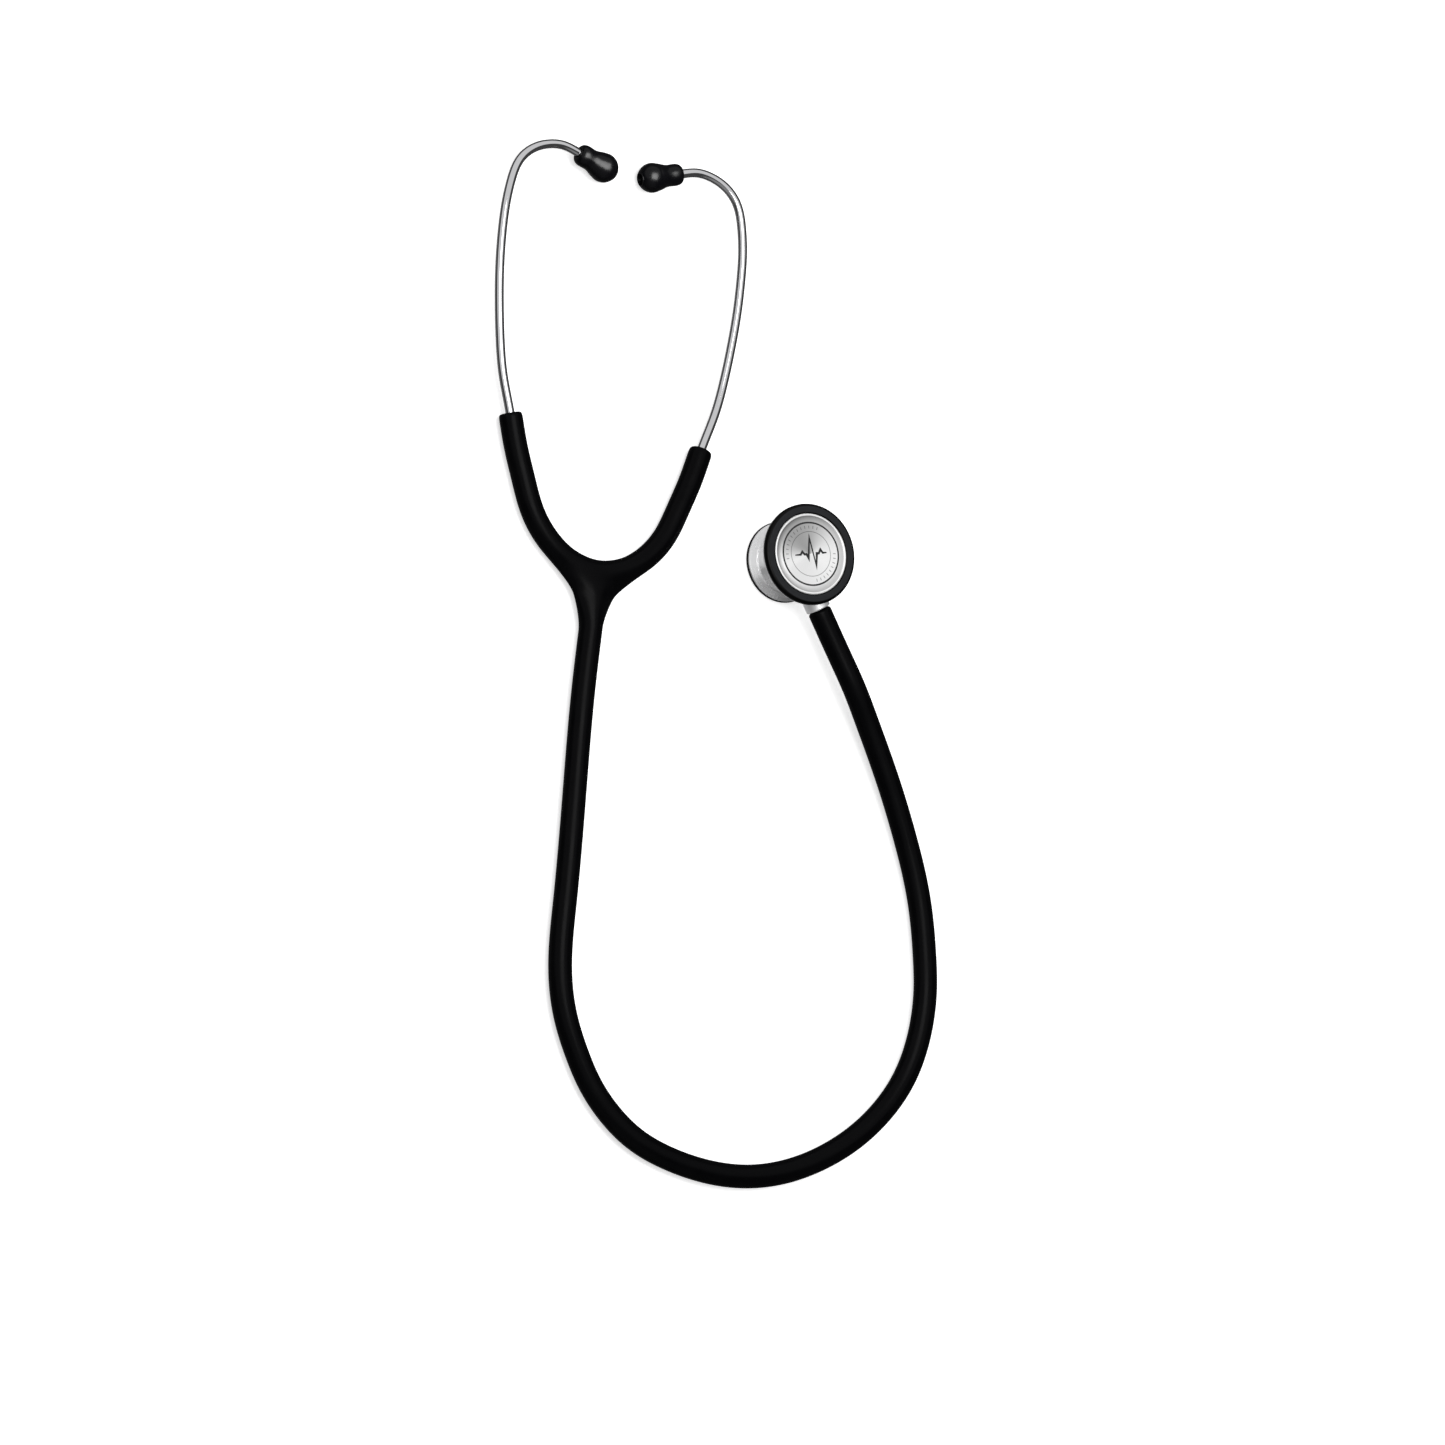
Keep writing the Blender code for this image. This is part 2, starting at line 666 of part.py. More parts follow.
def stem_profile():
    """Journal with its two grooves, the bright collar, and the tube's barb."""
    ball_groove = (DETENT_PLACE - 1.3, DETENT_PLACE + 1.3)
    seal_groove = (O_RING_PLACE - 0.8, O_RING_PLACE + 0.8)
    journal = [(STEM_CHANNEL_R, JOURNAL_START), (JOURNAL_R - 0.3, JOURNAL_START)]
    journal += [(JOURNAL_R, JOURNAL_START + 0.3), (JOURNAL_R, ball_groove[0]), (2.35, ball_groove[0])]
    journal += [(2.35, ball_groove[1]), (JOURNAL_R, ball_groove[1]), (JOURNAL_R, seal_groove[0])]
    journal += [(2.3, seal_groove[0]), (2.3, seal_groove[1]), (JOURNAL_R, seal_groove[1])]
    collar = [(JOURNAL_R, JOURNAL_END), (STEM_R - 0.3, JOURNAL_END), (STEM_R, JOURNAL_END + 0.3)]
    collar += [(STEM_R, COLLAR_END - 0.3), (STEM_R - 0.3, COLLAR_END)]
    barb = [(BARB_R - 0.5, COLLAR_END)]
    for i in range(3):
        foot = COLLAR_END + 3.0 + 4.0 * i
        barb += [(BARB_R - 0.5, foot), (BARB_R, foot + 0.3), (BARB_R - 0.5, foot + 3.4)]
    barb += [(BARB_R - 0.9, BARB_END), (STEM_CHANNEL_R, BARB_END)]
    return journal + collar + barb


def build_stem(layout, stem_place):
    """Stem, its seal and the tube's end, all along the stem's heading."""
    outward = Vector((math.cos(STEM_HEADING), math.sin(STEM_HEADING), 0.0))
    origin = Vector(stem_place)
    stem = add_object("stem", turned_mesh("stem", stem_profile(), 18), polished_steel, layout)
    port_mesh = round_bar(0.0, 8.0, SOUND_CHANNEL_R - 0.2, 12)
    port = add_cutter("stem_port", port_mesh, layout)
    port.location = origin * MM
    cut(stem, port)
    seal_profile = []
    for i in range(8):
        angle = 2.0 * math.pi * i / 8
        across = O_RING_R + O_RING_WIRE_R * math.cos(angle)
        seal_profile.append((across, O_RING_PLACE + O_RING_WIRE_R * math.sin(angle)))
    seal = add_object("stem_o_ring", turned_mesh("stem_o_ring", seal_profile, 16), soft_black, layout)
    end = CUFF_START + CUFF_LENGTH
    cuff_profile = [(CUFF_BORE_R, CUFF_START), (TUBE_R - 1.2, CUFF_START), (TUBE_R, CUFF_START + 1.0)]
    cuff_profile += [(TUBE_R, end), (CUFF_BORE_R, end)]
    cuff = add_object("tube_stem_cuff", turned_mesh("tube_stem_cuff", cuff_profile, 20), black_tubing, layout)
    for item in (stem, seal, cuff):
        item.location = origin * MM
        aim(item, outward)


def build_main_tube(layout, stem_place):
    """The free tube, from the yoke's neck round to the cuff."""
    outward = Vector((math.cos(STEM_HEADING), math.sin(STEM_HEADING), 0.0))
    meet = Vector(stem_place) + outward * (CUFF_START + CUFF_LENGTH + GAP)
    straight = meet + outward * TUBE_STEP
    route = Route(TUBE_ROUTE + [tuple(straight), tuple(meet)])
    count = round(route.length / TUBE_STEP)
    curve = bpy.data.curves.new("main_tube", "CURVE")
    curve.dimensions = "3D"
    curve.bevel_depth = TUBE_R * MM
    curve.bevel_resolution = 3
    curve.use_fill_caps = True
    spline = curve.splines.new("POLY")
    spline.points.add(count)
    for i, point in enumerate(spline.points):
        point.co = (*(route.at(route.length * i / count) * MM), 1.0)
    curve.materials.append(black_tubing("main_tube"))
    tube = bpy.data.objects.new("main_tube", curve)
    bpy.context.collection.objects.link(tube)
    tube.parent = layout


def main():
    clear_scene()
    layout = add_empty("layout", (-FOOTPRINT_CENTRE[0], -FOOTPRINT_CENTRE[1], 0.0))
    build_headset(layout)
    stem_place = (*CHEST_AXIS, STEM_HEIGHT)
    stem_axis = add_empty("stem_axis", stem_place, layout)
    stem_axis.rotation_euler = (0.0, 0.0, STEM_HEADING)
    build_chestpiece(stem_axis)
    build_stem(layout, stem_place)
    build_main_tube(layout, stem_place)
    bpy.context.view_layer.update()


main()
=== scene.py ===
"""Looks of a double-headed stethoscope, lying flat on a pale studio floor.

Sizes are in millimetres.  Outlines of turned pieces are (radius, height)
points.  The layout's own zero is on the headset's centre line, level with the
bottom of the yoke's U, and layout_point() takes it to the frame.
"""
import json
import math

import bpy
import numpy as np
from mathutils import Matrix, Vector


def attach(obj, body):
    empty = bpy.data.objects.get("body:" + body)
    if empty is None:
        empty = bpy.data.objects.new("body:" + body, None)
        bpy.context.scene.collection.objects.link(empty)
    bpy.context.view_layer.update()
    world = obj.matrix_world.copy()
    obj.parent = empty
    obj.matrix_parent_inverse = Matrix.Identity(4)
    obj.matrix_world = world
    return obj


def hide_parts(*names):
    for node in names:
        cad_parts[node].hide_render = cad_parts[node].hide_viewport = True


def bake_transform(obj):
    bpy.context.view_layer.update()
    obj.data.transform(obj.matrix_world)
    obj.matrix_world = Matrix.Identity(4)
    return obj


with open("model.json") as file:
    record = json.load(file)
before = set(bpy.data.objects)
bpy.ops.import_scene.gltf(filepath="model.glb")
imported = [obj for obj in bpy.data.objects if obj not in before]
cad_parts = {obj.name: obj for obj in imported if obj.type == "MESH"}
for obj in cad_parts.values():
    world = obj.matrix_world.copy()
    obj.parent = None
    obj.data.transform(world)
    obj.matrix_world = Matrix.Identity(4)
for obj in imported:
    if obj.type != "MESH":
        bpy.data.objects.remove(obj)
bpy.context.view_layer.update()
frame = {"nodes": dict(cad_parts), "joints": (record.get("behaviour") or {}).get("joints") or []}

MM = 0.001
SIDES = ((-1, "left"), (1, "right"))
LAYOUT_ZERO = Vector((-0.02892, -0.0806, 0.0))
JOINTS = {joint["name"]: joint for joint in frame["joints"]}
STEM_POINT = Vector(JOINTS["chestpiece_turn"]["pos_m"])
STEM_AXIS = Vector(JOINTS["chestpiece_turn"]["axis"]).normalized()
CHEST_FOOT = Vector((STEM_POINT.x, STEM_POINT.y, 0.0))

# Tubing: radius, where the yoke's neck ends, how much a cage ring is swollen so that its
# subdivided surface comes back to the radius, and the hole that an ear tube fills
TUBE_R = 5.25
NECK_END = -26.65
RING_SWELL = 1.108
BORE_R = 2.02

# The headset's right half, from the U's middle to inside the tip, and the points of it
# where the arm ends and where the ear tube enters the tip
HEADSET_HALF = [
    (0.0, -1.3, 5.25),
    (24.6, 9.9, 5.25),
    (33.7, 21.9, 5.25),
    (38.8, 34.5, 5.25),
    (43.8, 48.0, 5.25),
    (47.9, 62.5, 5.3),
    (53.0, 78.9, 5.6),
    (56.1, 94.5, 6.1),
    (58.2, 110.4, 6.6),
    (59.6, 126.3, 7.1),
    (60.0, 142.4, 7.6),
    (59.6, 153.2, 8.0),
    (58.1, 164.1, 8.2),
    (54.2, 175.3, 8.4),
    (48.7, 180.8, 8.5),
    (40.3, 184.4, 8.4),
    (33.7, 185.0, 8.3),
    (25.8, 183.1, 8.0),
    (20.1, 181.4, 7.4),
]
ARM_END = 5
TIP_ENTRY = 17
# Along the headset from the U's middle: where an arm's moulding parts from the
# web's, and the stretch over which an arm bends as the ear tubes spread
PART_REACH = 20.0
BEND_START = 22.0
BEND_END = 50.0

# The free tube's route, in metres, and where it starts and ends
TUBE_ROUTE = [
    (-0.0289, -0.1074, 0.00525),
    (-0.0301, -0.1341, 0.00525),
    (-0.0305, -0.1745, 0.00525),
    (-0.0310, -0.2284, 0.00525),
    (-0.0312, -0.2516, 0.00525),
    (-0.0291, -0.2685, 0.00525),
    (-0.0252, -0.2813, 0.00525),
    (-0.0193, -0.2938, 0.00525),
    (-0.0118, -0.3060, 0.00525),
    (-0.0009, -0.3177, 0.00525),
    (0.0126, -0.3269, 0.00525),
    (0.0291, -0.3327, 0.00525),
    (0.0491, -0.3358, 0.00525),
    (0.0698, -0.3350, 0.00525),
    (0.0911, -0.3290, 0.00525),
    (0.1089, -0.3196, 0.00525),
    (0.1236, -0.3082, 0.00525),
    (0.1353, -0.2952, 0.00525),
    (0.1441, -0.2806, 0.00525),
    (0.1490, -0.2663, 0.00525),
    (0.1513, -0.2524, 0.00525),
    (0.1516, -0.2389, 0.00525),
    (0.1502, -0.2258, 0.00525),
    (0.1450, -0.1997, 0.00530),
    (0.1356, -0.1744, 0.00600),
    (0.1234, -0.1498, 0.00780),
    (0.1090, -0.1255, 0.01040),
]
TUBE_END = 25.0
TUBE_STRAIGHT = (48.7, 61.7)
TUBE_LIP = 1.4

# Ear tubes: how far they reach into the arms and into the tips
EAR_TUBE_R = 2.0
EAR_TUBE_DEPTH = 14.0
TUBE_INTO_TIP = 5.0

# Spacing of the chestpiece's feed marks, and the length over which a wave texture of
# scale 1 repeats
FEED_MARK = 0.9
WAVE_REPEAT = 0.314

# Disc: its top, the radius that its ramps span, the share of metal in its silvering,
# where its bare rolled edge starts, and the spacing of its spun rings, which are
# drawn coarser than such rings usually are, to show
DISC_TOP = 26.1
DISC_REACH = 20.0
SILVERING = 0.45
BARE_EDGE = 17.0
SPIN_RING = 0.45

# The disc's print: rings by radius, width and cover; the ticks' band, how many go
# round, their share of half a pitch, and the turns between which they are drawn
PRINTED_RINGS = [(9.9, 0.32, "#d0d0d0"), (13.85, 0.74, "#ffffff")]
TICK_BAND = (11.9, 1.3, "#ffffff")
TICKS_ROUND = 36.0
TICK_SHARE = 0.09
TICK_ARCS = [
    (0.0, "#d0d0d0"), (0.07, "#000000"), (0.292, "#d0d0d0"), (0.542, "#000000"), (0.708, "#d0d0d0"),
]

# Painted sheen: colour levels once round the disc, from straight left, that stand in for light on the face
PAINTED_SHEEN = [
    (0.0, "#b4b4b4"), (0.07, "#f6f6f6"), (0.12, "#e0e0e0"), (0.25, "#e2e2e2"), (0.38, "#ececec"),
    (0.5, "#f2f2f2"), (0.6, "#e4e4e4"), (0.68, "#c8c8c8"), (0.76, "#a8a8a8"), (0.88, "#949494"),
    (0.96, "#a2a2a2"), (1.0, "#c4c4c4"),
]

# Middle of the snap ring's flat front
RIM_CREST = 19.88

# Heartbeat trace: height of its print, its corners, its stroke at each of them, its tilt
INK_FILM = 0.03
PULSE = [
    (-8.0, 0.0), (-5.2, 0.0), (-4.2, 1.3), (-3.2, 0.0), (-2.2, 0.0), (-1.4, -1.8),
    (0.3, 7.2), (2.0, -5.4), (3.0, 0.0), (4.1, 0.0), (5.1, 1.6), (6.1, 0.0), (8.0, 0.0),
]
PULSE_STROKE = [0.5, 0.9, 1.0, 1.0, 1.1, 1.2, 1.4, 1.4, 1.2, 1.0, 1.0, 0.9, 0.5]
PULSE_TILT = 14.0

# Light: strengths, the softbox's direction and half angle, and the small box over the tips
FLOOR_GLOW = 0.58
SUN_STRENGTH = 1.3
SOFTBOX_AXIS = Vector((-0.22, 0.06, 0.97))
SOFTBOX_HALF_ANGLE = 16.0
SOFTBOX_RADIANCE = 4.8
TIP_BOX_HEIGHT = 0.1
TIP_BOX_SIZE = 0.085
TIP_BOX_RADIANCE = 15.0
TENT_FILL = 0.3
# Direction of a panel's middle, where it starts and is full, its lowest and highest level
TENT_PANELS = [
    (Vector((-0.35, 0.45, 0.82)), 0.46, 0.54, 0.07, 0.9),
    (Vector((-0.20, 0.0, -0.980)), 0.52, 0.88, 0.0, 0.14),
    (Vector((-0.25, -0.90, 0.36)), 0.72, 0.95, 0.0, 0.25),
]


def layout_point(x, y, z):
    return LAYOUT_ZERO + Vector((x, y, z)) * MM


class Route:
    """A smooth curve through its points, read by the distance along it."""

    def __init__(self, points):
        self.points = np.array(points, dtype=float)
        chords = np.linalg.norm(np.diff(self.points, axis=0), axis=1)
        self.knots = np.concatenate(([0.0], np.cumsum(chords)))
        self.bends = self.solve_bends(chords)
        self.fine = np.linspace(0.0, self.knots[-1], 3001)
        places = np.array([self.read(value) for value in self.fine])
        steps = np.linalg.norm(np.diff(places, axis=0), axis=1)
        self.travelled = np.concatenate(([0.0], np.cumsum(steps)))
        self.length = self.travelled[-1]

    def solve_bends(self, chords):
        """Second derivatives that join the cubic pieces without a kink."""
        count = len(self.points)
        system = np.eye(count)
        target = np.zeros_like(self.points)
        slopes = np.diff(self.points, axis=0) / chords[:, None]
        for i in range(1, count - 1):
            system[i, i - 1] = chords[i - 1]
            system[i, i] = 2.0 * (chords[i - 1] + chords[i])
            system[i, i + 1] = chords[i]
            target[i] = 6.0 * (slopes[i] - slopes[i - 1])
        return np.linalg.solve(system, target)

    def read(self, value):
        i = int(np.searchsorted(self.knots, value, side="right")) - 1
        i = min(max(i, 0), len(self.points) - 2)
        width = self.knots[i + 1] - self.knots[i]
        after = (value - self.knots[i]) / width
        before = 1.0 - after
        straight = before * self.points[i] + after * self.points[i + 1]
        bend_before = (before ** 3 - before) * self.bends[i]
        bend_after = (after ** 3 - after) * self.bends[i + 1]
        return straight + (bend_before + bend_after) * width ** 2 / 6.0

    def at(self, distance):
        return Vector(self.read(np.interp(distance, self.travelled, self.fine)))

    def heading(self, distance):
        reach = self.length * 0.0005
        ahead = self.at(min(distance + reach, self.length))
        behind = self.at(max(distance - reach, 0.0))
        return (ahead - behind).normalized()


class Headset:
    """The line through both ear tubes and the U, read from the U's middle."""

    def __init__(self):
        left = [(-x, y, z) for x, y, z in HEADSET_HALF[:0:-1]]
        self.route = Route(left + HEADSET_HALF)
        self.middle = self.route.length / 2.0

    def at(self, side, distance):
        place = self.route.at(self.middle + distance)
        return Vector((place.x * side, place.y, place.z))

    def heading(self, side, distance):
        way = self.route.heading(self.middle + distance)
        return Vector((way.x * side, way.y, way.z))

    def reach(self, index):
        """Distance from the U's middle to a point of the half list."""
        target = Vector(HEADSET_HALF[index])
        steps = np.arange(0.0, self.middle, 0.25)
        gaps = [(self.at(1, step) - target).length for step in steps]
        return float(steps[int(np.argmin(gaps))])


HEADSET = Headset()
ARM_REACH = HEADSET.reach(ARM_END)
TIP_REACH = HEADSET.reach(TIP_ENTRY)


# Modelling helpers

def deselect():
    bpy.ops.object.select_all(action="DESELECT")


def make_active(piece):
    deselect()
    piece.select_set(True)
    bpy.context.view_layer.objects.active = piece


def apply_modifier(piece, kind, **settings):
    make_active(piece)
    modifier = piece.modifiers.new(kind.title(), kind)
    for key, value in settings.items():
        setattr(modifier, key, value)
    bpy.ops.object.modifier_apply(modifier=modifier.name)


def smooth(piece, angle=40.0):
    make_active(piece)
    bpy.ops.object.shade_smooth_by_angle(angle=math.radians(angle))


def lathe(name, profile, sides=96, closed=True):
    """Draw a ring and extrude it through the profile's (radius, height) points."""
    radius, height = profile[0]
    deselect()
    bpy.ops.mesh.primitive_circle_add(vertices=sides, radius=radius * MM, location=(0, 0, height * MM))
    piece = bpy.context.object
    piece.name = piece.data.name = name
    bpy.ops.object.mode_set(mode="EDIT")
    bpy.ops.mesh.select_all(action="SELECT")
    for next_radius, next_height in profile[1:]:
        rise = (0.0, 0.0, (next_height - height) * MM)
        bpy.ops.mesh.extrude_region_move(TRANSFORM_OT_translate={"value": rise})
        share = next_radius / radius
        bpy.ops.transform.resize(value=(share, share, 1.0), center_override=(0, 0, next_height * MM))
        radius, height = next_radius, next_height
    bpy.ops.mesh.select_all(action="DESELECT")
    bpy.ops.mesh.select_non_manifold()
    if closed:
        bpy.ops.mesh.bridge_edge_loops()
    else:
        bpy.ops.mesh.fill_holes(sides=0)
    bpy.ops.mesh.select_all(action="SELECT")
    bpy.ops.mesh.normals_make_consistent(inside=False)
    bpy.ops.object.mode_set(mode="OBJECT")
    return piece


def place(piece, point, direction=None):
    """Stand the piece's Z along the direction, at the point, and apply it."""
    make_active(piece)
    if direction is not None:
        turn = direction.to_track_quat("Z", "Y").to_matrix().to_4x4()
        piece.matrix_world = turn @ piece.matrix_world
    piece.matrix_world = Matrix.Translation(point) @ piece.matrix_world
    bpy.ops.object.transform_apply(location=True, rotation=True, scale=True)


def bezier(start, pull_start, pull_end, end, steps):
    """Points of a smooth outline, without its first one."""
    points = []
    for i in range(1, steps + 1):
        t = i / steps
        u = 1.0 - t
        weights = (u ** 3, 3.0 * u * u * t, 3.0 * u * t * t, t ** 3)
        corners = (start, pull_start, pull_end, end)
        points.append(tuple(sum(w * c[k] for w, c in zip(weights, corners)) for k in (0, 1)))
    return points


def arc(centre, radius, start, end, steps):
    """Points of a round outline, angles in degrees from +radius."""
    points = []
    for i in range(steps + 1):
        angle = math.radians(start + (end - start) * i / steps)
        points.append((centre[0] + radius * math.cos(angle), centre[1] + radius * math.sin(angle)))
    return points


def tube_along(name, places, radius, shares=None, resolution=10):
    """A round bar along the places, as a mesh; shares thin it point by point."""
    curve = bpy.data.curves.new(name, "CURVE")
    curve.dimensions = "3D"
    curve.bevel_depth = radius * MM
    curve.bevel_resolution = resolution
    curve.use_fill_caps = True
    spline = curve.splines.new("POLY")
    spline.points.add(len(places) - 1)
    for i, point in enumerate(spline.points):
        point.co = (*places[i], 1.0)
        point.radius = shares[i] if shares else 1.0
    piece = bpy.data.objects.new(name, curve)
    bpy.context.collection.objects.link(piece)
    make_active(piece)
    bpy.ops.object.convert(target="MESH")
    piece = bpy.context.object
    mend(piece)
    return piece


def mend(piece):
    """Merge a converted curve's doubled points and turn its faces outwards."""
    make_active(piece)
    bpy.ops.object.mode_set(mode="EDIT")
    bpy.ops.mesh.select_all(action="SELECT")
    bpy.ops.mesh.remove_doubles(threshold=0.001 * MM)
    bpy.ops.mesh.normals_make_consistent(inside=False)
    bpy.ops.object.mode_set(mode="OBJECT")


# Materials

def srgb(code):
    """A #rrggbb colour as the linear values that shaders take."""
    channels = [int(code[i:i + 2], 16) / 255.0 for i in (1, 3, 5)]
    linear = [c / 12.92 if c <= 0.04045 else ((c + 0.055) / 1.055) ** 2.4 for c in channels]
    return (*linear, 1.0)


def add_node(material, kind, settings=None, links=None):
    """A node with its sockets, properties or ramp stops set and its inputs linked."""
    node = material.node_tree.nodes.new(kind)
    for key, value in (settings or {}).items():
        if key == "stops":
            ramp = node.color_ramp
            ramp.elements.remove(ramp.elements[-1])
            ramp.elements[0].position = value[0][0]
            ramp.elements[0].color = srgb(value[0][1])
            for spot, colour in value[1:]:
                ramp.elements.new(spot).color = srgb(colour)
        elif key == "interpolation":
            node.color_ramp.interpolation = value
        elif isinstance(key, int) or key in node.inputs:
            node.inputs[key].default_value = value
        else:
            setattr(node, key, value)
    for key, source in (links or {}).items():
        material.node_tree.links.new(source, node.inputs[key])
    return node


def new_material(name, settings):
    """A material with its shader's plain settings, and the coordinates for its patterns."""
    material = bpy.data.materials.new(name)
    material.use_nodes = True
    shader = material.node_tree.nodes["Principled BSDF"]
    for key, value in settings.items():
        shader.inputs[key].default_value = value
    coords = add_node(material, "ShaderNodeTexCoord").outputs["Object"]
    return material, shader, coords


def link(material, source, shader, socket):
    material.node_tree.links.new(source, shader.inputs[socket])


def spacing(millimetres):
    """Noise scale that gives one blotch for each stretch of this length."""
    return 1.0 / (millimetres * MM)


def ring_scale(pitch):
    """Wave scale that spaces its rings by this pitch, in the unit of its own coordinates."""
    return WAVE_REPEAT / pitch


def moulded_vinyl():
    """Plasticised PVC tubing: deep black, satin skin, faint flow and handling marks."""
    material, shader, coords = new_material("black_vinyl_tubing", {
        "IOR": 1.53,
        "Specular IOR Level": 0.035,
    })
    flow = add_node(
        material, "ShaderNodeTexNoise", {"Scale": spacing(9.0), "Detail": 3.0}, {"Vector": coords},
    )
    shade = add_node(
        material, "ShaderNodeMapRange",
        {"From Min": 0.3, "From Max": 0.7, "To Min": 0.24, "To Max": 0.34}, {"Value": flow.outputs["Fac"]},
    )
    link(material, shade.outputs["Result"], shader, "Roughness")
    tint = add_node(
        material, "ShaderNodeMix",
        {"data_type": "RGBA", 6: srgb("#030304"), 7: srgb("#060607")}, {0: flow.outputs["Fac"]},
    )
    link(material, tint.outputs[2], shader, "Base Color")
    skin = add_node(
        material, "ShaderNodeTexNoise", {"Scale": spacing(0.35), "Detail": 2.0}, {"Vector": coords},
    )
    bump = add_node(
        material, "ShaderNodeBump", {"Strength": 0.12, "Distance": 0.02 * MM},
        {"Height": skin.outputs["Fac"]},
    )
    link(material, bump.outputs["Normal"], shader, "Normal")
    return material


def soft_silicone(name, colour, roughness, gloss):
    """Moulded silicone rubber: black, softly glossy, with a faint blotchy bloom."""
    material, shader, coords = new_material(name, {
        "Base Color": srgb(colour),
        "Roughness": roughness,
        "IOR": 1.43,
        "Specular IOR Level": gloss,
    })
    bloom = add_node(
        material, "ShaderNodeTexNoise", {"Scale": spacing(3.0), "Detail": 4.0}, {"Vector": coords},
    )
    shade = add_node(
        material, "ShaderNodeMapRange",
        {"To Min": roughness - 0.05, "To Max": roughness + 0.06}, {"Value": bloom.outputs["Fac"]},
    )
    link(material, shade.outputs["Result"], shader, "Roughness")
    grain = add_node(
        material, "ShaderNodeTexNoise", {"Scale": spacing(0.25), "Detail": 2.0}, {"Vector": coords},
    )
    bump = add_node(
        material, "ShaderNodeBump", {"Strength": 0.15, "Distance": 0.01 * MM},
        {"Height": grain.outputs["Fac"]},
    )
    link(material, bump.outputs["Normal"], shader, "Normal")
    return material


def snap_ring_rubber():
    """Moulded rubber ring: fine matt bloom on the flat front; its rounded edges are painted near black as
    painted shade.
    """
    material, shader, coords = new_material("rim_rubber", {"IOR": 1.45, "Specular IOR Level": 0.1})
    flat = add_node(
        material, "ShaderNodeMapping",
        {"Location": -CHEST_FOOT / MM, "Scale": (1.0 / MM, 1.0 / MM, 0.0)}, {"Vector": coords},
    ).outputs["Vector"]
    radius = add_node(
        material, "ShaderNodeVectorMath", {"operation": "LENGTH"}, {0: flat},
    ).outputs["Value"]
    from_crest = add_node(
        material, "ShaderNodeMath", {"operation": "SUBTRACT", 1: RIM_CREST}, {0: radius},
    ).outputs["Value"]
    from_crest = add_node(material, "ShaderNodeMath", {"operation": "ABSOLUTE"}, {0: from_crest})
    front = add_node(
        material, "ShaderNodeMapRange",
        {"From Min": 1.2, "From Max": 1.5, "To Min": 1.0, "To Max": 0.0},
        {"Value": from_crest.outputs["Value"]},
    ).outputs["Result"]
    dust = add_node(
        material, "ShaderNodeTexNoise", {"Scale": spacing(2.5), "Detail": 4.0}, {"Vector": coords},
    )
    bloom = add_node(
        material, "ShaderNodeMix",
        {"data_type": "RGBA", 6: srgb("#1d1e20"), 7: srgb("#252628")}, {0: dust.outputs["Fac"]},
    ).outputs[2]
    # Painted shade: the rounded edges get near black in place of the rubber's grey of the front
    tint = add_node(
        material, "ShaderNodeMix", {"data_type": "RGBA", 6: srgb("#020202")}, {0: front, 7: bloom},
    )
    link(material, tint.outputs[2], shader, "Base Color")
    shade = add_node(material, "ShaderNodeMapRange", {"To Min": 0.3, "To Max": 0.5}, {"Value": front})
    link(material, shade.outputs["Result"], shader, "Roughness")
    return material


def polished_steel(name, centre, roughness, colour="#cbcbcd", metallic=1.0):
    """Stainless steel, polished bright; turned pieces keep fine rings about their axis,
    and a satin one scatters part of the light, so that it looks paler than a mirror."""
    material, shader, coords = new_material(name, {
        "Base Color": srgb(colour),
        "Metallic": metallic,
        "Roughness": roughness,
    })
    wipe = add_node(
        material, "ShaderNodeTexNoise", {"Scale": spacing(6.0), "Detail": 5.0}, {"Vector": coords},
    )
    shade = add_node(
        material, "ShaderNodeMapRange",
        {"From Min": 0.25, "From Max": 0.75, "To Min": roughness - 0.02, "To Max": roughness + 0.03},
        {"Value": wipe.outputs["Fac"]},
    )
    link(material, shade.outputs["Result"], shader, "Roughness")
    if centre is None:
        marks = add_node(
            material, "ShaderNodeTexNoise", {"Scale": spacing(0.4), "Detail": 3.0}, {"Vector": coords},
        )
        height = marks.outputs["Fac"]
    else:
        centred = add_node(material, "ShaderNodeMapping", {"Location": -centre}, {"Vector": coords})
        # Feed marks are usually near 0.1 mm apart: too fine to show, so drawn coarser
        marks = add_node(
            material, "ShaderNodeTexWave",
            {"wave_type": "RINGS", "rings_direction": "Z",
             "Scale": ring_scale(FEED_MARK * MM), "Distortion": 0.4},
            {"Vector": centred.outputs["Vector"]},
        )
        height = marks.outputs["Fac"]
    bump = add_node(
        material, "ShaderNodeBump", {"Strength": 0.02, "Distance": 0.01 * MM}, {"Height": height},
    )
    link(material, bump.outputs["Normal"], shader, "Normal")
    return material


def spring_temper_steel():
    """Blued spring steel with a drawn, slightly streaky skin."""
    material, shader, coords = new_material("spring_temper_steel", {
        "Base Color": srgb("#8f9299"),
        "Metallic": 1.0,
        "Roughness": 0.3,
    })
    streaks = add_node(
        material, "ShaderNodeTexNoise", {"Scale": spacing(0.8), "Detail": 4.0}, {"Vector": coords},
    )
    tint = add_node(
        material, "ShaderNodeMix",
        {"data_type": "RGBA", 6: srgb("#7d828c"), 7: srgb("#a3a4a8")}, {0: streaks.outputs["Fac"]},
    )
    link(material, tint.outputs[2], shader, "Base Color")
    return material


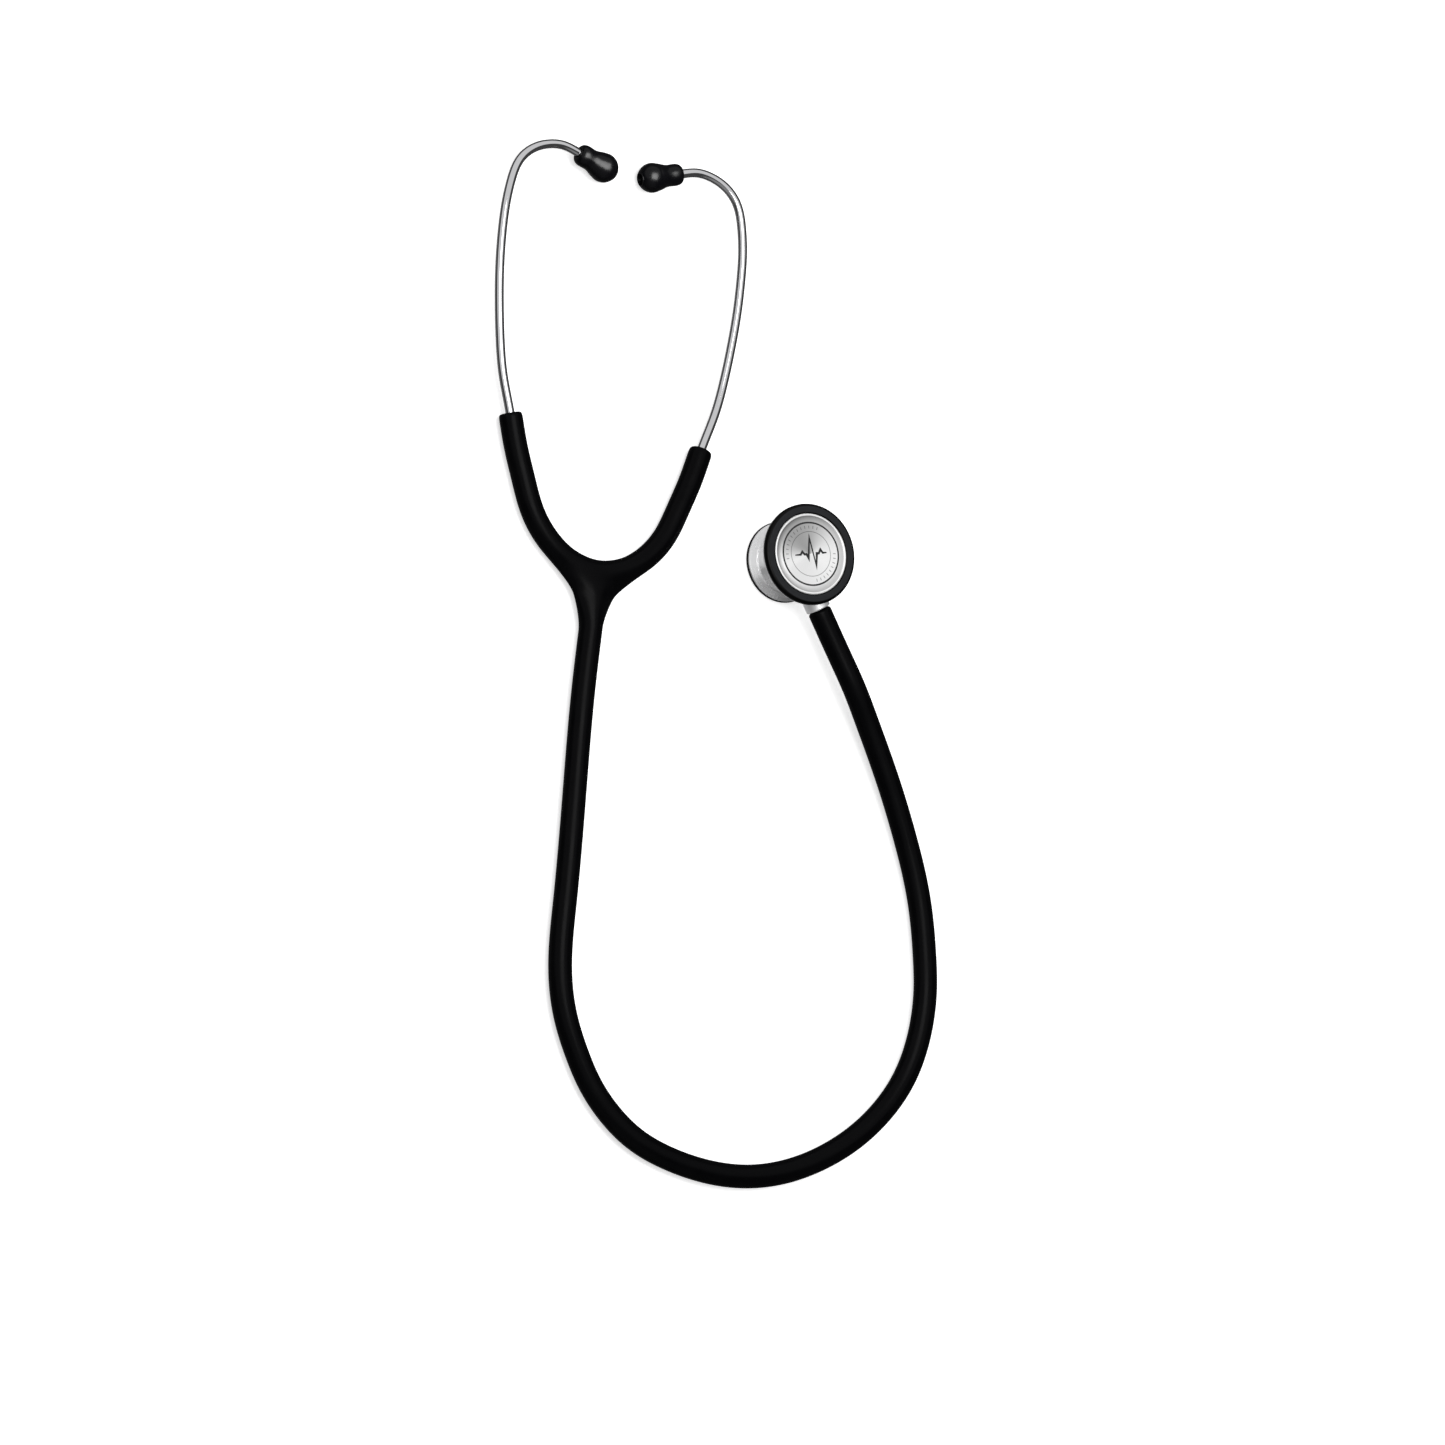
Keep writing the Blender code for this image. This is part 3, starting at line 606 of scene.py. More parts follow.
def pale_acetal():
    """Moulded acetal of the hidden sleeves: milky, slightly waxy."""
    material, shader, coords = new_material("pale_acetal", {
        "Base Color": srgb("#d3d2cd"),
        "Roughness": 0.4,
        "IOR": 1.48,
    })
    cloud = add_node(
        material, "ShaderNodeTexNoise", {"Scale": spacing(2.0), "Detail": 2.0}, {"Vector": coords},
    )
    tint = add_node(
        material, "ShaderNodeMix",
        {"data_type": "RGBA", 6: srgb("#cfcec8"), 7: srgb("#d9d8d4")}, {0: cloud.outputs["Fac"]},
    )
    link(material, tint.outputs[2], shader, "Base Color")
    return material


def printed_diaphragm():
    """Glass-fibre epoxy disc: spun, silvered face with a painted sheen that turns with the angle
    and painted shade towards its rolled edge, under fine printed rings and scale ticks."""
    material, shader, coords = new_material("silvered_epoxy_disc", {"IOR": 1.52})
    # Millimetres from the disc's middle, flattened
    flat = add_node(
        material, "ShaderNodeMapping",
        {"Location": -CHEST_FOOT / MM, "Scale": (1.0 / MM, 1.0 / MM, 0.0)}, {"Vector": coords},
    ).outputs["Vector"]
    radius = add_node(
        material, "ShaderNodeVectorMath", {"operation": "LENGTH"}, {0: flat},
    ).outputs["Value"]
    share = add_node(
        material, "ShaderNodeMath", {"operation": "DIVIDE", 1: DISC_REACH}, {0: radius},
    ).outputs["Value"]
    turn = add_node(
        material, "ShaderNodeTexGradient", {"gradient_type": "RADIAL"}, {"Vector": flat},
    ).outputs["Fac"]

    # Painted sheen by angle, from straight left and round through the lower left, darkened along the spun
    # rings
    painted_sheen = add_node(
        material, "ShaderNodeValToRGB", {"interpolation": "B_SPLINE", "stops": PAINTED_SHEEN}, {0: turn},
    )
    rings = add_node(
        material, "ShaderNodeTexWave",
        {"wave_type": "RINGS", "rings_direction": "Z", "Scale": ring_scale(SPIN_RING), "Distortion": 0.6},
        {"Vector": flat},
    ).outputs["Fac"]
    rings_and_painted_light = add_node(
        material, "ShaderNodeMix",
        {"data_type": "RGBA", "blend_type": "MULTIPLY", 7: srgb("#f2f2f2")},
        {0: rings, 6: painted_sheen.outputs["Color"]},
    ).outputs[2]

    # Painted shade: the face is darkened towards the foot of the rolled edge, in its groove
    groove_painted_shade = add_node(
        material, "ShaderNodeValToRGB",
        {"interpolation": "EASE", "stops": [(0.0, "#ffffff"), (0.71, "#ffffff"), (0.85, "#c4c4c4")]},
        {0: share},
    )
    rings_and_painted_light = add_node(
        material, "ShaderNodeMix", {"data_type": "RGBA", "blend_type": "MULTIPLY", 0: 1.0},
        {6: rings_and_painted_light, 7: groove_painted_shade.outputs["Color"]},
    ).outputs[2]

    # Print: bold and fine rings by radius, ticks where the scale's band and its spokes meet
    by_radius = add_node(
        material, "ShaderNodeValToRGB",
        {"interpolation": "CONSTANT", "stops": ring_stops(PRINTED_RINGS)}, {0: share},
    )
    band = add_node(
        material, "ShaderNodeValToRGB",
        {"interpolation": "CONSTANT", "stops": ring_stops([TICK_BAND])}, {0: share},
    )
    arcs = add_node(
        material, "ShaderNodeValToRGB", {"interpolation": "CONSTANT", "stops": TICK_ARCS}, {0: turn},
    )
    spokes = add_node(material, "ShaderNodeMath", {"operation": "MULTIPLY", 1: TICKS_ROUND}, {0: turn})
    spoke = add_node(
        material, "ShaderNodeMath", {"operation": "PINGPONG", 1: 0.5}, {0: spokes.outputs["Value"]},
    )
    thin = add_node(
        material, "ShaderNodeMath", {"operation": "LESS_THAN", 1: TICK_SHARE}, {0: spoke.outputs["Value"]},
    ).outputs["Value"]
    ticks = add_node(
        material, "ShaderNodeMath", {"operation": "MULTIPLY"}, {0: thin, 1: band.outputs["Color"]},
    ).outputs["Value"]
    ticks = add_node(
        material, "ShaderNodeMath", {"operation": "MULTIPLY"}, {0: ticks, 1: arcs.outputs["Color"]},
    ).outputs["Value"]
    print_amount = add_node(
        material, "ShaderNodeMath", {"operation": "MAXIMUM"}, {0: ticks, 1: by_radius.outputs["Color"]},
    ).outputs["Value"]
    printed = add_node(
        material, "ShaderNodeMix", {"data_type": "RGBA", 7: srgb("#101012")}, {0: print_amount, 6: rings_and_painted_light},
    ).outputs[2]
    silver = add_node(
        material, "ShaderNodeMapRange", {"To Min": SILVERING, "To Max": 0.0}, {"Value": print_amount},
    ).outputs["Result"]
    # The rolled edge is left bare and bright
    bare = add_node(
        material, "ShaderNodeMath", {"operation": "GREATER_THAN", 1: BARE_EDGE}, {0: radius},
    ).outputs["Value"]
    colour = add_node(
        material, "ShaderNodeMix", {"data_type": "RGBA", 7: srgb("#e8e8e8")}, {0: bare, 6: printed},
    ).outputs[2]
    link(material, colour, shader, "Base Color")
    metal = add_node(
        material, "ShaderNodeMix", {"data_type": "FLOAT", 3: 0.35}, {0: bare, 2: silver},
    ).outputs[0]
    link(material, metal, shader, "Metallic")
    gloss = add_node(
        material, "ShaderNodeMapRange", {"To Min": 0.36, "To Max": 0.44}, {"Value": bare},
    ).outputs["Result"]
    link(material, gloss, shader, "Roughness")
    bump = add_node(
        material, "ShaderNodeBump", {"Strength": 0.08, "Distance": 0.01 * MM}, {"Height": rings},
    )
    link(material, bump.outputs["Normal"], shader, "Normal")
    return material


def ring_stops(rings):
    """Stops of a constant ramp over the disc's radius, for (radius, width, colour) rings."""
    stops = [(0.0, "#000000")]
    for middle, width, colour in rings:
        stops.append(((middle - width / 2.0) / DISC_REACH, colour))
        stops.append(((middle + width / 2.0) / DISC_REACH, "#000000"))
    return stops


def printing_ink():
    """Screen-printed enamel ink: solid black, a little glossy, faintly uneven."""
    material, shader, coords = new_material("black_enamel_ink", {
        "Base Color": srgb("#0a0a0c"),
        "Roughness": 0.35,
        "IOR": 1.5,
    })
    cover = add_node(
        material, "ShaderNodeTexNoise", {"Scale": spacing(0.5), "Detail": 2.0}, {"Vector": coords},
    )
    shade = add_node(
        material, "ShaderNodeMapRange", {"To Min": 0.3, "To Max": 0.42}, {"Value": cover.outputs["Fac"]},
    )
    link(material, shade.outputs["Result"], shader, "Roughness")
    return material


VINYL = moulded_vinyl()
TIP_SILICONE = soft_silicone("eartip_silicone", "#020203", 0.27, 0.2)
RING_RUBBER = soft_silicone("ring_rubber", "#060607", 0.4, 0.2)
RIM_RUBBER = snap_ring_rubber()
TURNED_STEEL = polished_steel("turned_stainless", CHEST_FOOT, 0.26, "#e6e6e7", 0.65)
DRAWN_STEEL = polished_steel("drawn_stainless_tube", None, 0.06)
SATIN_STEEL = polished_steel("satin_stainless_stem", STEM_POINT, 0.36, "#f2f2f3", 0.7)
SPRING_STEEL = spring_temper_steel()
ACETAL = pale_acetal()
DISC_FACE = printed_diaphragm()
INK = printing_ink()


def dress(piece, material, body, nodes=()):
    """Give a finished piece its material, its body and the nodes that it stands for."""
    piece.data.materials.clear()
    piece.data.materials.append(material)
    if body:
        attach(piece, body)
    if nodes:
        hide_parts(*nodes)


# Camera, looking down on the layout through a long lens

def add_camera():
    lens, sensor = 300.0, 36.0
    view_width = 0.63378
    target = Vector((0.03994, -0.1372, 0.00525))
    back = Vector((-0.468, -0.1953, 0.862)).normalized()
    right = Vector((0.869, 0.0743, 0.489))
    right = (right - back * right.dot(back)).normalized()
    up = back.cross(right)
    data = bpy.data.cameras.new("camera")
    data.lens = lens
    data.sensor_width = sensor
    data.clip_end = 100.0
    camera = bpy.data.objects.new("camera", data)
    bpy.context.collection.objects.link(camera)
    turn = Matrix((right, up, back)).transposed()
    camera.matrix_world = Matrix.Translation(target + back * view_width * lens / sensor) @ turn.to_4x4()
    bpy.context.scene.camera = camera


# The free tube

def free_tube():
    """One soft tube from the yoke's neck to the stem, its end edge rounded over."""
    start = layout_point(0.0, NECK_END, TUBE_R)
    straight = [STEM_POINT + STEM_AXIS * reach * MM for reach in TUBE_STRAIGHT[::-1]]
    end = STEM_POINT + STEM_AXIS * TUBE_END * MM
    route = Route([start] + TUBE_ROUTE[1:] + straight + [end])
    body = np.linspace(0.0, route.length - TUBE_LIP * MM, 260)
    places = [route.at(distance) for distance in body]
    shares = [1.0] * len(places)
    for i in range(1, 7):
        angle = math.radians(15.0 * i)
        places.append(end + STEM_AXIS * TUBE_LIP * MM * (1.0 - math.sin(angle)))
        shares.append(1.0 - (1.0 - math.cos(angle)) * TUBE_LIP / TUBE_R)
    piece = tube_along("free_tube", places, TUBE_R, shares, 14)
    smooth(piece, 50.0)
    dress(piece, VINYL, "tubing", ("main_tube", "tube_stem_cuff"))
    [tuple(route.at(route.length * i / 120)) for i in range(121)]


# Y-shaped moulding

RING = [(math.cos(math.radians(45.0 * k)), math.sin(math.radians(45.0 * k))) for k in range(8)]


def limb_ring(distance, radius):
    """Eight cage points round the right limb; point 0 faces out of the U."""
    centre = HEADSET.at(1, distance)
    way = HEADSET.heading(1, distance)
    out = way.cross(Vector((0.0, 0.0, 1.0))).normalized()
    up = out.cross(way)
    swollen = radius * RING_SWELL
    return [centre + out * c * swollen + up * s * swollen for c, s in RING]


def moulding_cage():
    """Cage of the whole Y: two limbs and a neck that share one ring of faces.

    A limb's ring has its outer side, its inner side and the crest between.
    At the U's middle the outer sides of both limbs run down into the neck.
    """
    end = ARM_REACH
    limb = [(end - 4.0, BORE_R), (end - 0.5, BORE_R), (end, BORE_R + 0.35), (end, TUBE_R - 1.5)]
    limb += [(end - 0.25, TUBE_R - 0.35), (end - 1.5, TUBE_R)]
    limb += [(d, TUBE_R) for d in np.linspace(end - 5.0, 21.0, 11)]
    rings = [limb_ring(d, r) for d, r in limb]
    crest = TUBE_R * RING_SWELL
    # Last limb ring, at the shoulder of the web: side, crest and inner side
    shoulder = limb_ring(13.5, TUBE_R)
    shoulder[0] = Vector((17.4, -4.0, TUBE_R))
    for k, sign in ((1, 1.0), (7, -1.0)):
        shoulder[k] = Vector((15.4, -2.8, TUBE_R + sign * crest * 0.6))
    middle = limb_ring(0.0, TUBE_R)
    # Below it: place of the sides, half width, place of the crest, and the height of
    # the slope between them and of the crest, as shares of a round ring's
    rows = [
        (-9.2, 12.0, -10.0, 0.5, 1.06),
        (-13.0, 9.9, -13.4, 0.54, 1.06),
        (-17.0, 8.2, -17.2, 0.61, 1.03),
        (-21.0, 6.75, -21.0, 0.68, 1.01),
        (-24.2, 5.95, -24.2, 0.707, 1.0),
        (NECK_END, TUBE_R * RING_SWELL, NECK_END, 0.707, 1.0),
    ]
    points, faces = [], []

    def keep(vector):
        points.append(vector)
        return len(points) - 1

    def mirror(vector):
        return Vector((-vector.x, vector.y, vector.z))

    limbs = []
    for side in (1, -1):
        table = []
        for ring in rings + [shoulder]:
            table.append([keep(p if side > 0 else mirror(p)) for p in ring])
        limbs.append(table)
    for table in limbs:
        faces.append(table[0][:])
        for near, far in zip(table, table[1:]):
            for k in range(8):
                faces.append([near[k], near[(k + 1) % 8], far[(k + 1) % 8], far[k]])
    # Inner half of the U's middle ring joins the two shoulders: points 2 to 6
    inner = {k: keep(middle[k]) for k in (2, 3, 4, 5, 6)}
    for table in limbs:
        for k in (2, 3, 4, 5):
            faces.append([table[-1][k], table[-1][k + 1], inner[k + 1], inner[k]])
    # Neck rings: right side, right crest side, crest, left crest side, left side, and below
    first = [limbs[0][-1][0], limbs[0][-1][1], None, limbs[1][-1][1], limbs[1][-1][0],
             limbs[1][-1][7], None, limbs[0][-1][7]]
    first[2] = keep(Vector((0.0, -6.8, TUBE_R + crest * 0.97)))
    first[6] = keep(Vector((0.0, -6.8, TUBE_R - crest * 0.97)))
    right, left = limbs[0][-1], limbs[1][-1]
    faces.append([right[2], inner[2], first[2], right[1]])
    faces.append([inner[2], left[2], left[1], first[2]])
    faces.append([right[6], right[7], first[6], inner[6]])
    faces.append([inner[6], first[6], left[7], left[6]])
    neck = [first]
    for y_side, half_width, y_crest, lift, top in rows:
        ring = []
        for c, s in RING:
            share = abs(c)
            x = half_width * c
            y = y_side * share + y_crest * (1.0 - share)
            rise = {0.0: 0.0, 1.0: top}.get(round(abs(s), 3), lift)
            ring.append(keep(Vector((x, y, TUBE_R + math.copysign(rise, s) * crest if rise else TUBE_R))))
        neck.append(ring)
    for near, far in zip(neck, neck[1:]):
        for k in range(8):
            faces.append([near[k], near[(k + 1) % 8], far[(k + 1) % 8], far[k]])
    faces.append(neck[-1][:])
    return points, faces


def y_moulding():
    """Subdivide the cage, then part it where the limbs leave the web."""
    points, faces = moulding_cage()
    mesh = bpy.data.meshes.new("yoke_moulding")
    mesh.from_pydata([tuple(layout_point(*p)) for p in points], [], faces)
    whole = bpy.data.objects.new("yoke_moulding", mesh)
    bpy.context.collection.objects.link(whole)
    make_active(whole)
    bpy.ops.object.mode_set(mode="EDIT")
    bpy.ops.mesh.select_all(action="SELECT")
    bpy.ops.mesh.normals_make_consistent(inside=False)
    bpy.ops.object.mode_set(mode="OBJECT")
    crease = mesh.attributes.new("crease_edge", "FLOAT", "EDGE")
    neck_y = layout_point(0.0, NECK_END, 0.0).y
    for edge in mesh.edges:
        ends = [mesh.vertices[i].co.y for i in edge.vertices]
        if max(ends) < neck_y + 0.1 * MM:
            crease.data[edge.index].value = 1.0
    apply_modifier(whole, "SUBSURF", levels=3, render_levels=3)
    pieces = {}
    for prefix in ("left", "right"):
        arm = whole.copy()
        arm.data = whole.data.copy()
        arm.name = arm.data.name = prefix + "_arm_moulding"
        bpy.context.collection.objects.link(arm)
        pieces[prefix] = arm
    for side, prefix in SIDES:
        spot = layout_point(*HEADSET.at(side, PART_REACH))
        way = HEADSET.heading(side, PART_REACH)
        way = Vector((way.x, way.y, 0.0))
        cut_off(whole, spot, way, keep_ahead=False)
        cut_off(pieces[prefix], spot, way, keep_ahead=True)
    smooth(whole, 55.0)
    dress(whole, VINYL, "tubing", ("yoke",))
    for side, prefix in SIDES:
        arm = pieces[prefix]
        smooth(arm, 55.0)
        dress(arm, VINYL, None, (prefix + "_yoke_arm",))
        bend_with_arm(arm, side)


def bend_with_arm(piece, side):
    """Bake a piece's placing into its mesh; the points at the ends of its bend are worked out but not
    used.
    """
    tuple(layout_point(*HEADSET.at(side, BEND_START)))
    tuple(layout_point(*HEADSET.at(side, BEND_END)))
    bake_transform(piece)


def cut_off(piece, spot, way, keep_ahead):
    """Part a piece at a plane and close the cut."""
    make_active(piece)
    bpy.ops.object.mode_set(mode="EDIT")
    bpy.ops.mesh.select_all(action="SELECT")
    bpy.ops.mesh.bisect(
        plane_co=tuple(spot), plane_no=tuple(way), use_fill=True,
        clear_inner=keep_ahead, clear_outer=not keep_ahead,
    )
    bpy.ops.object.mode_set(mode="OBJECT")


def leaf_springs():
    """The bow spring's two legs, one for each arm, parted at the middle."""
    middle = layout_point(0.0, 0.0, 0.0)
    legs = {}
    for prefix in ("left", "right"):
        name = prefix + "_spring_leg"
        legs[prefix] = bpy.data.objects.new(name, frame["nodes"]["leaf_spring"].data.copy())
        bpy.context.collection.objects.link(legs[prefix])
    for side, prefix in SIDES:
        leg = legs[prefix]
        make_active(leg)
        bpy.ops.object.mode_set(mode="EDIT")
        bpy.ops.mesh.select_all(action="SELECT")
        bpy.ops.mesh.remove_doubles(threshold=0.01 * MM)
        bpy.ops.object.mode_set(mode="OBJECT")
        cut_off(leg, middle, Vector((1.0, 0.0, 0.0)), keep_ahead=side > 0)
        smooth(leg)
        dress(leg, SPRING_STEEL, None, ("leaf_spring",))
        bend_with_arm(leg, side)


# Ear tubes and tips

def ear_tubes():
    start = ARM_REACH - EAR_TUBE_DEPTH
    end = TIP_REACH + TUBE_INTO_TIP
    for side, prefix in SIDES:
        places = []
        for distance in np.linspace(start, end, 150):
            places.append(layout_point(*HEADSET.at(side, distance)))
        piece = tube_along(prefix + "_ear_tube_polished", places, EAR_TUBE_R, None, 12)
        smooth(piece, 50.0)
        dress(piece, DRAWN_STEEL, prefix + "_headset", (prefix + "_ear_tube",))


def tip_outline():
    """Mushroom tip: neck's mouth, waist, bulb, lipped sound hole and bore."""
    bulb = 14.2
    outline = [(2.05, 2.2), (2.05, 0.5), (2.3, 0.0), (2.8, 0.0)]
    outline += bezier((2.8, 0.0), (4.0, 0.0), (4.85, 1.2), (4.92, 3.0), 8)
    outline += bezier((4.92, 3.0), (4.97, 4.4), (4.75, 5.6), (4.85, 6.8), 6)
    outline += bezier((4.85, 6.8), (4.98, 8.6), (5.85, 9.8), (6.25, 12.1), 9)
    outline += arc((0.0, bulb), 6.6, -18.0, 58.5, 18)
    outline += arc((2.96, 19.82), 0.36, -10.0, 190.0, 10)
    outline += bezier((2.6, 19.6), (2.5, 18.7), (2.2, 17.4), (1.5, 16.2), 6)
    outline += [(1.35, 15.5), (1.35, 10.2), (2.05, 9.9)]
    return outline


def ear_tips():
    for prefix in ("left", "right"):
        joint = JOINTS[prefix + "_eartip_turn"]
        tip = lathe(prefix + "_soft_tip", tip_outline(), 72)
        place(tip, Vector(joint["pos_m"]), Vector(joint["axis"]))
        smooth(tip, 60.0)
        dress(tip, TIP_SILICONE, prefix + "_tip", (prefix + "_eartip",))


# Chestpiece

def chestpiece_shell():
    """One turned steel bar: bell cup, sound channel, diaphragm dish, waist and boss."""
    outline = [(16.1, 0.75)]
    outline += bezier((16.1, 0.75), (15.8, 3.4), (13.2, 6.6), (2.2, 7.7), 14)
    outline += [(1.5, 8.0), (1.5, 20.3), (3.0, 20.6), (16.8, 22.6), (18.3, 23.4), (18.3, 24.6)]
    outline += [(20.55, 24.6), (20.85, 24.35), (20.85, 24.15), (20.4, 23.95), (20.4, 23.1)]
    outline += [(21.6, 23.1), (22.0, 22.75), (22.0, 22.2), (21.75, 21.95)]
    outline += bezier((21.75, 21.95), (18.5, 20.9), (9.4, 20.6), (9.2, 12.9), 18)
    outline += bezier((9.2, 12.9), (9.2, 9.6), (12.5, 6.75), (14.4, 4.5), 18)
    outline += bezier((14.4, 4.5), (14.5, 4.4), (14.7, 4.36), (14.95, 4.25), 4)
    outline += [(15.1, 4.13), (17.15, 2.46), (17.3, 2.35), (17.55, 2.2), (17.7, 2.0), (17.7, 1.6)]
    outline += [(16.9, 1.6), (16.9, 0.75)]
    shell = lathe("chestpiece_shell", outline, 128)
    place(shell, CHEST_FOOT)
    boss = lathe("boss", [(5.4, 4.0), (5.4, 14.7), (5.1, 15.0)], 64, closed=False)
    place(boss, STEM_POINT, STEM_AXIS)
    combine(shell, boss, "UNION")
    bore = lathe("bore", [(3.7, -4.2), (3.7, 23.0)], 48, closed=False)
    place(bore, STEM_POINT, STEM_AXIS)
    combine(shell, bore, "DIFFERENCE")
    side = Vector((0.0, 0.0, 1.0)).cross(STEM_AXIS)
    hole = lathe("hole", [(1.3, 2.0), (1.3, 12.0)], 32, closed=False)
    place(hole, STEM_POINT + STEM_AXIS * 5.0 * MM, side)
    combine(shell, hole, "DIFFERENCE")
    smooth(shell, 32.0)
    # Long flat facets round the boss keep the turned surface's own shading
    apply_modifier(shell, "WEIGHTED_NORMAL", keep_sharp=True, weight=80)
    dress(shell, TURNED_STEEL, "chestpiece", ("chestpiece_body",))


def combine(piece, tool, operation):
    apply_modifier(piece, "BOOLEAN", object=tool, operation=operation, solver="EXACT")
    bpy.data.objects.remove(tool, do_unlink=True)


def rims():
    """Soft snap ring round the diaphragm, and the thin ring on the bell's lip."""
    outline = [(18.02, 25.75), (21.15, 25.75), (21.15, 23.85), (20.7, 23.65), (20.7, 23.4)]
    outline += [(21.9, 23.4)]
    outline += bezier((21.9, 23.4), (22.3, 23.4), (22.5, 23.6), (22.5, 24.0), 5)
    outline += [(22.5, 24.9)]
    outline += bezier((22.5, 24.9), (22.5, 25.7), (22.1, 26.25), (21.3, 26.38), 8)
    outline += bezier((21.3, 26.38), (20.6, 26.4), (19.5, 26.4), (18.75, 26.36), 4)
    outline += bezier((18.75, 26.36), (18.3, 26.34), (18.05, 26.25), (18.02, 26.0), 5)
    rim = lathe("diaphragm_snap_ring", outline, 160)
    place(rim, CHEST_FOOT)
    smooth(rim, 45.0)
    dress(rim, RIM_RUBBER, "chestpiece", ("diaphragm_rim",))
    outline = [(16.0, 0.2), (16.2, 0.0), (17.55, 0.0)]
    outline += bezier((17.55, 0.0), (17.9, 0.0), (18.05, 0.2), (18.05, 0.55), 5)
    outline += bezier((18.05, 0.55), (18.05, 1.0), (18.0, 1.3), (17.6, 1.32), 5)
    outline += [(17.2, 1.3), (17.2, 0.45), (16.0, 0.45)]
    ring = lathe("bell_edge_ring", outline, 128)
    place(ring, CHEST_FOOT)
    smooth(ring, 45.0)
    dress(ring, RING_RUBBER, "chestpiece", ("bell_rim",))


def diaphragm_disc():
    """Thin sprung disc: flat face, a rolled groove near its edge, a hidden flange."""
    top = bezier((14.0, DISC_TOP), (14.6, DISC_TOP), (15.0, 25.98), (15.6, 25.95), 6)
    top += bezier((15.6, 25.95), (16.4, 25.9), (16.8, 25.95), (17.15, 26.15), 7)
    top += bezier((17.15, 26.15), (17.3, 26.24), (17.6, 26.24), (17.78, 26.1), 5)
    edge = [(17.8, 25.42), (20.5, 25.4), (20.5, 25.0), (17.2, 25.0)]
    under = [(16.9, 25.5), (15.8, 25.3), (14.6, 25.5), (14.0, 25.65), (0.4, 25.65)]
    face = [(radius, DISC_TOP) for radius in (0.4, 7.0, 13.0, 14.0)]
    disc = lathe("diaphragm_face", face + top + edge + under, 128, closed=False)
    place(disc, CHEST_FOOT)
    smooth(disc, 40.0)
    dress(disc, DISC_FACE, "diaphragm_disc", ("diaphragm",))


def pulse_mark():
    """A generic printed heartbeat trace across the middle of the disc, as a thin film.

    The trace is drawn as a flat curve whose stroke thickens at the tall beat."""
    curve = bpy.data.curves.new("pulse_mark", "CURVE")
    curve.dimensions = "2D"
    curve.fill_mode = "BOTH"
    curve.extrude = INK_FILM * MM
    outline = stroke_outline(PULSE, PULSE_STROKE)
    spline = curve.splines.new("POLY")
    spline.points.add(len(outline) - 1)
    for point, (x, y) in zip(spline.points, outline):
        point.co = (x * MM, y * MM, 0.0, 1.0)
    spline.use_cyclic_u = True
    mark = bpy.data.objects.new("pulse_mark", curve)
    bpy.context.collection.objects.link(mark)
    make_active(mark)
    bpy.ops.object.convert(target="MESH")
    mark = bpy.context.object
    mark.matrix_world = Matrix.Rotation(math.radians(PULSE_TILT), 4, "Z")
    bpy.ops.object.transform_apply(location=True, rotation=True, scale=True)
    place(mark, CHEST_FOOT + Vector((0.0, 0.0, DISC_TOP + INK_FILM)) * MM)
    mend(mark)
    dress(mark, INK, "diaphragm_disc", ())


def stroke_outline(trace, widths):
    """Both sides of a bent stroke, mitred where it turns."""
    line = [Vector(point) for point in trace]
    sides = ([], [])
    for i, here in enumerate(line):
        before = (here - line[i - 1]).normalized() if i else (line[1] - here).normalized()
        after = (line[i + 1] - here).normalized() if i + 1 < len(line) else before
        across = Vector((-(before + after).y, (before + after).x)).normalized()
        square = Vector((-before.y, before.x))
        reach = widths[i] / 2.0 / max(across.dot(square), 0.35)
        sides[0].append(here + across * reach)
        sides[1].append(here - across * reach)
    return [tuple(point) for point in sides[0] + sides[1][::-1]]


def stem():
    """Steel stem: journal with its grooves, bright collar, and barb inside the tube."""
    journal = [(1.3, -3.6), (3.1, -3.6), (3.4, -3.3), (3.4, 3.7), (2.35, 3.7), (2.35, 6.3), (3.4, 6.3)]
    journal += [(3.4, 9.7), (2.3, 9.7), (2.3, 11.3), (3.4, 11.3), (3.4, 15.3)]
    collar = [(5.2, 15.3), (5.5, 15.6), (5.5, 18.0), (5.25, 18.25), (5.25, 18.7), (5.5, 18.95)]
    collar += [(5.5, 24.2)]
    collar += bezier((5.5, 24.2), (5.5, 24.5), (5.4, 24.7), (5.1, 24.7), 4)
    barb = [(2.4, 24.7)]
    for i in range(3):
        foot = 29.1 + 4.0 * i
        barb += [(2.4, foot), (2.9, foot + 0.3), (2.4, foot + 3.4)]
    barb += [(2.0, 42.0), (1.3, 42.0)]
    piece = lathe("stem_and_barb", journal + collar + barb, 96)
    place(piece, STEM_POINT, STEM_AXIS)
    smooth(piece, 32.0)
    dress(piece, SATIN_STEEL, "tubing", ("stem",))


def hidden_pieces():
    """Carried-over pieces that only show when the object is taken apart."""
    finishes = {
        "left_tube_ferrule": ACETAL,
        "right_tube_ferrule": ACETAL,
        "left_tip_insert": DRAWN_STEEL,
        "right_tip_insert": DRAWN_STEEL,
        "stem_o_ring": RING_RUBBER,
        "detent_ball": DRAWN_STEEL,
        "detent_spring": SPRING_STEEL,
        "detent_screw": SPRING_STEEL,
    }
    for name, material in finishes.items():
        slots = frame["nodes"][name].material_slots
        for slot in slots:
            slot.material = material


# Studio

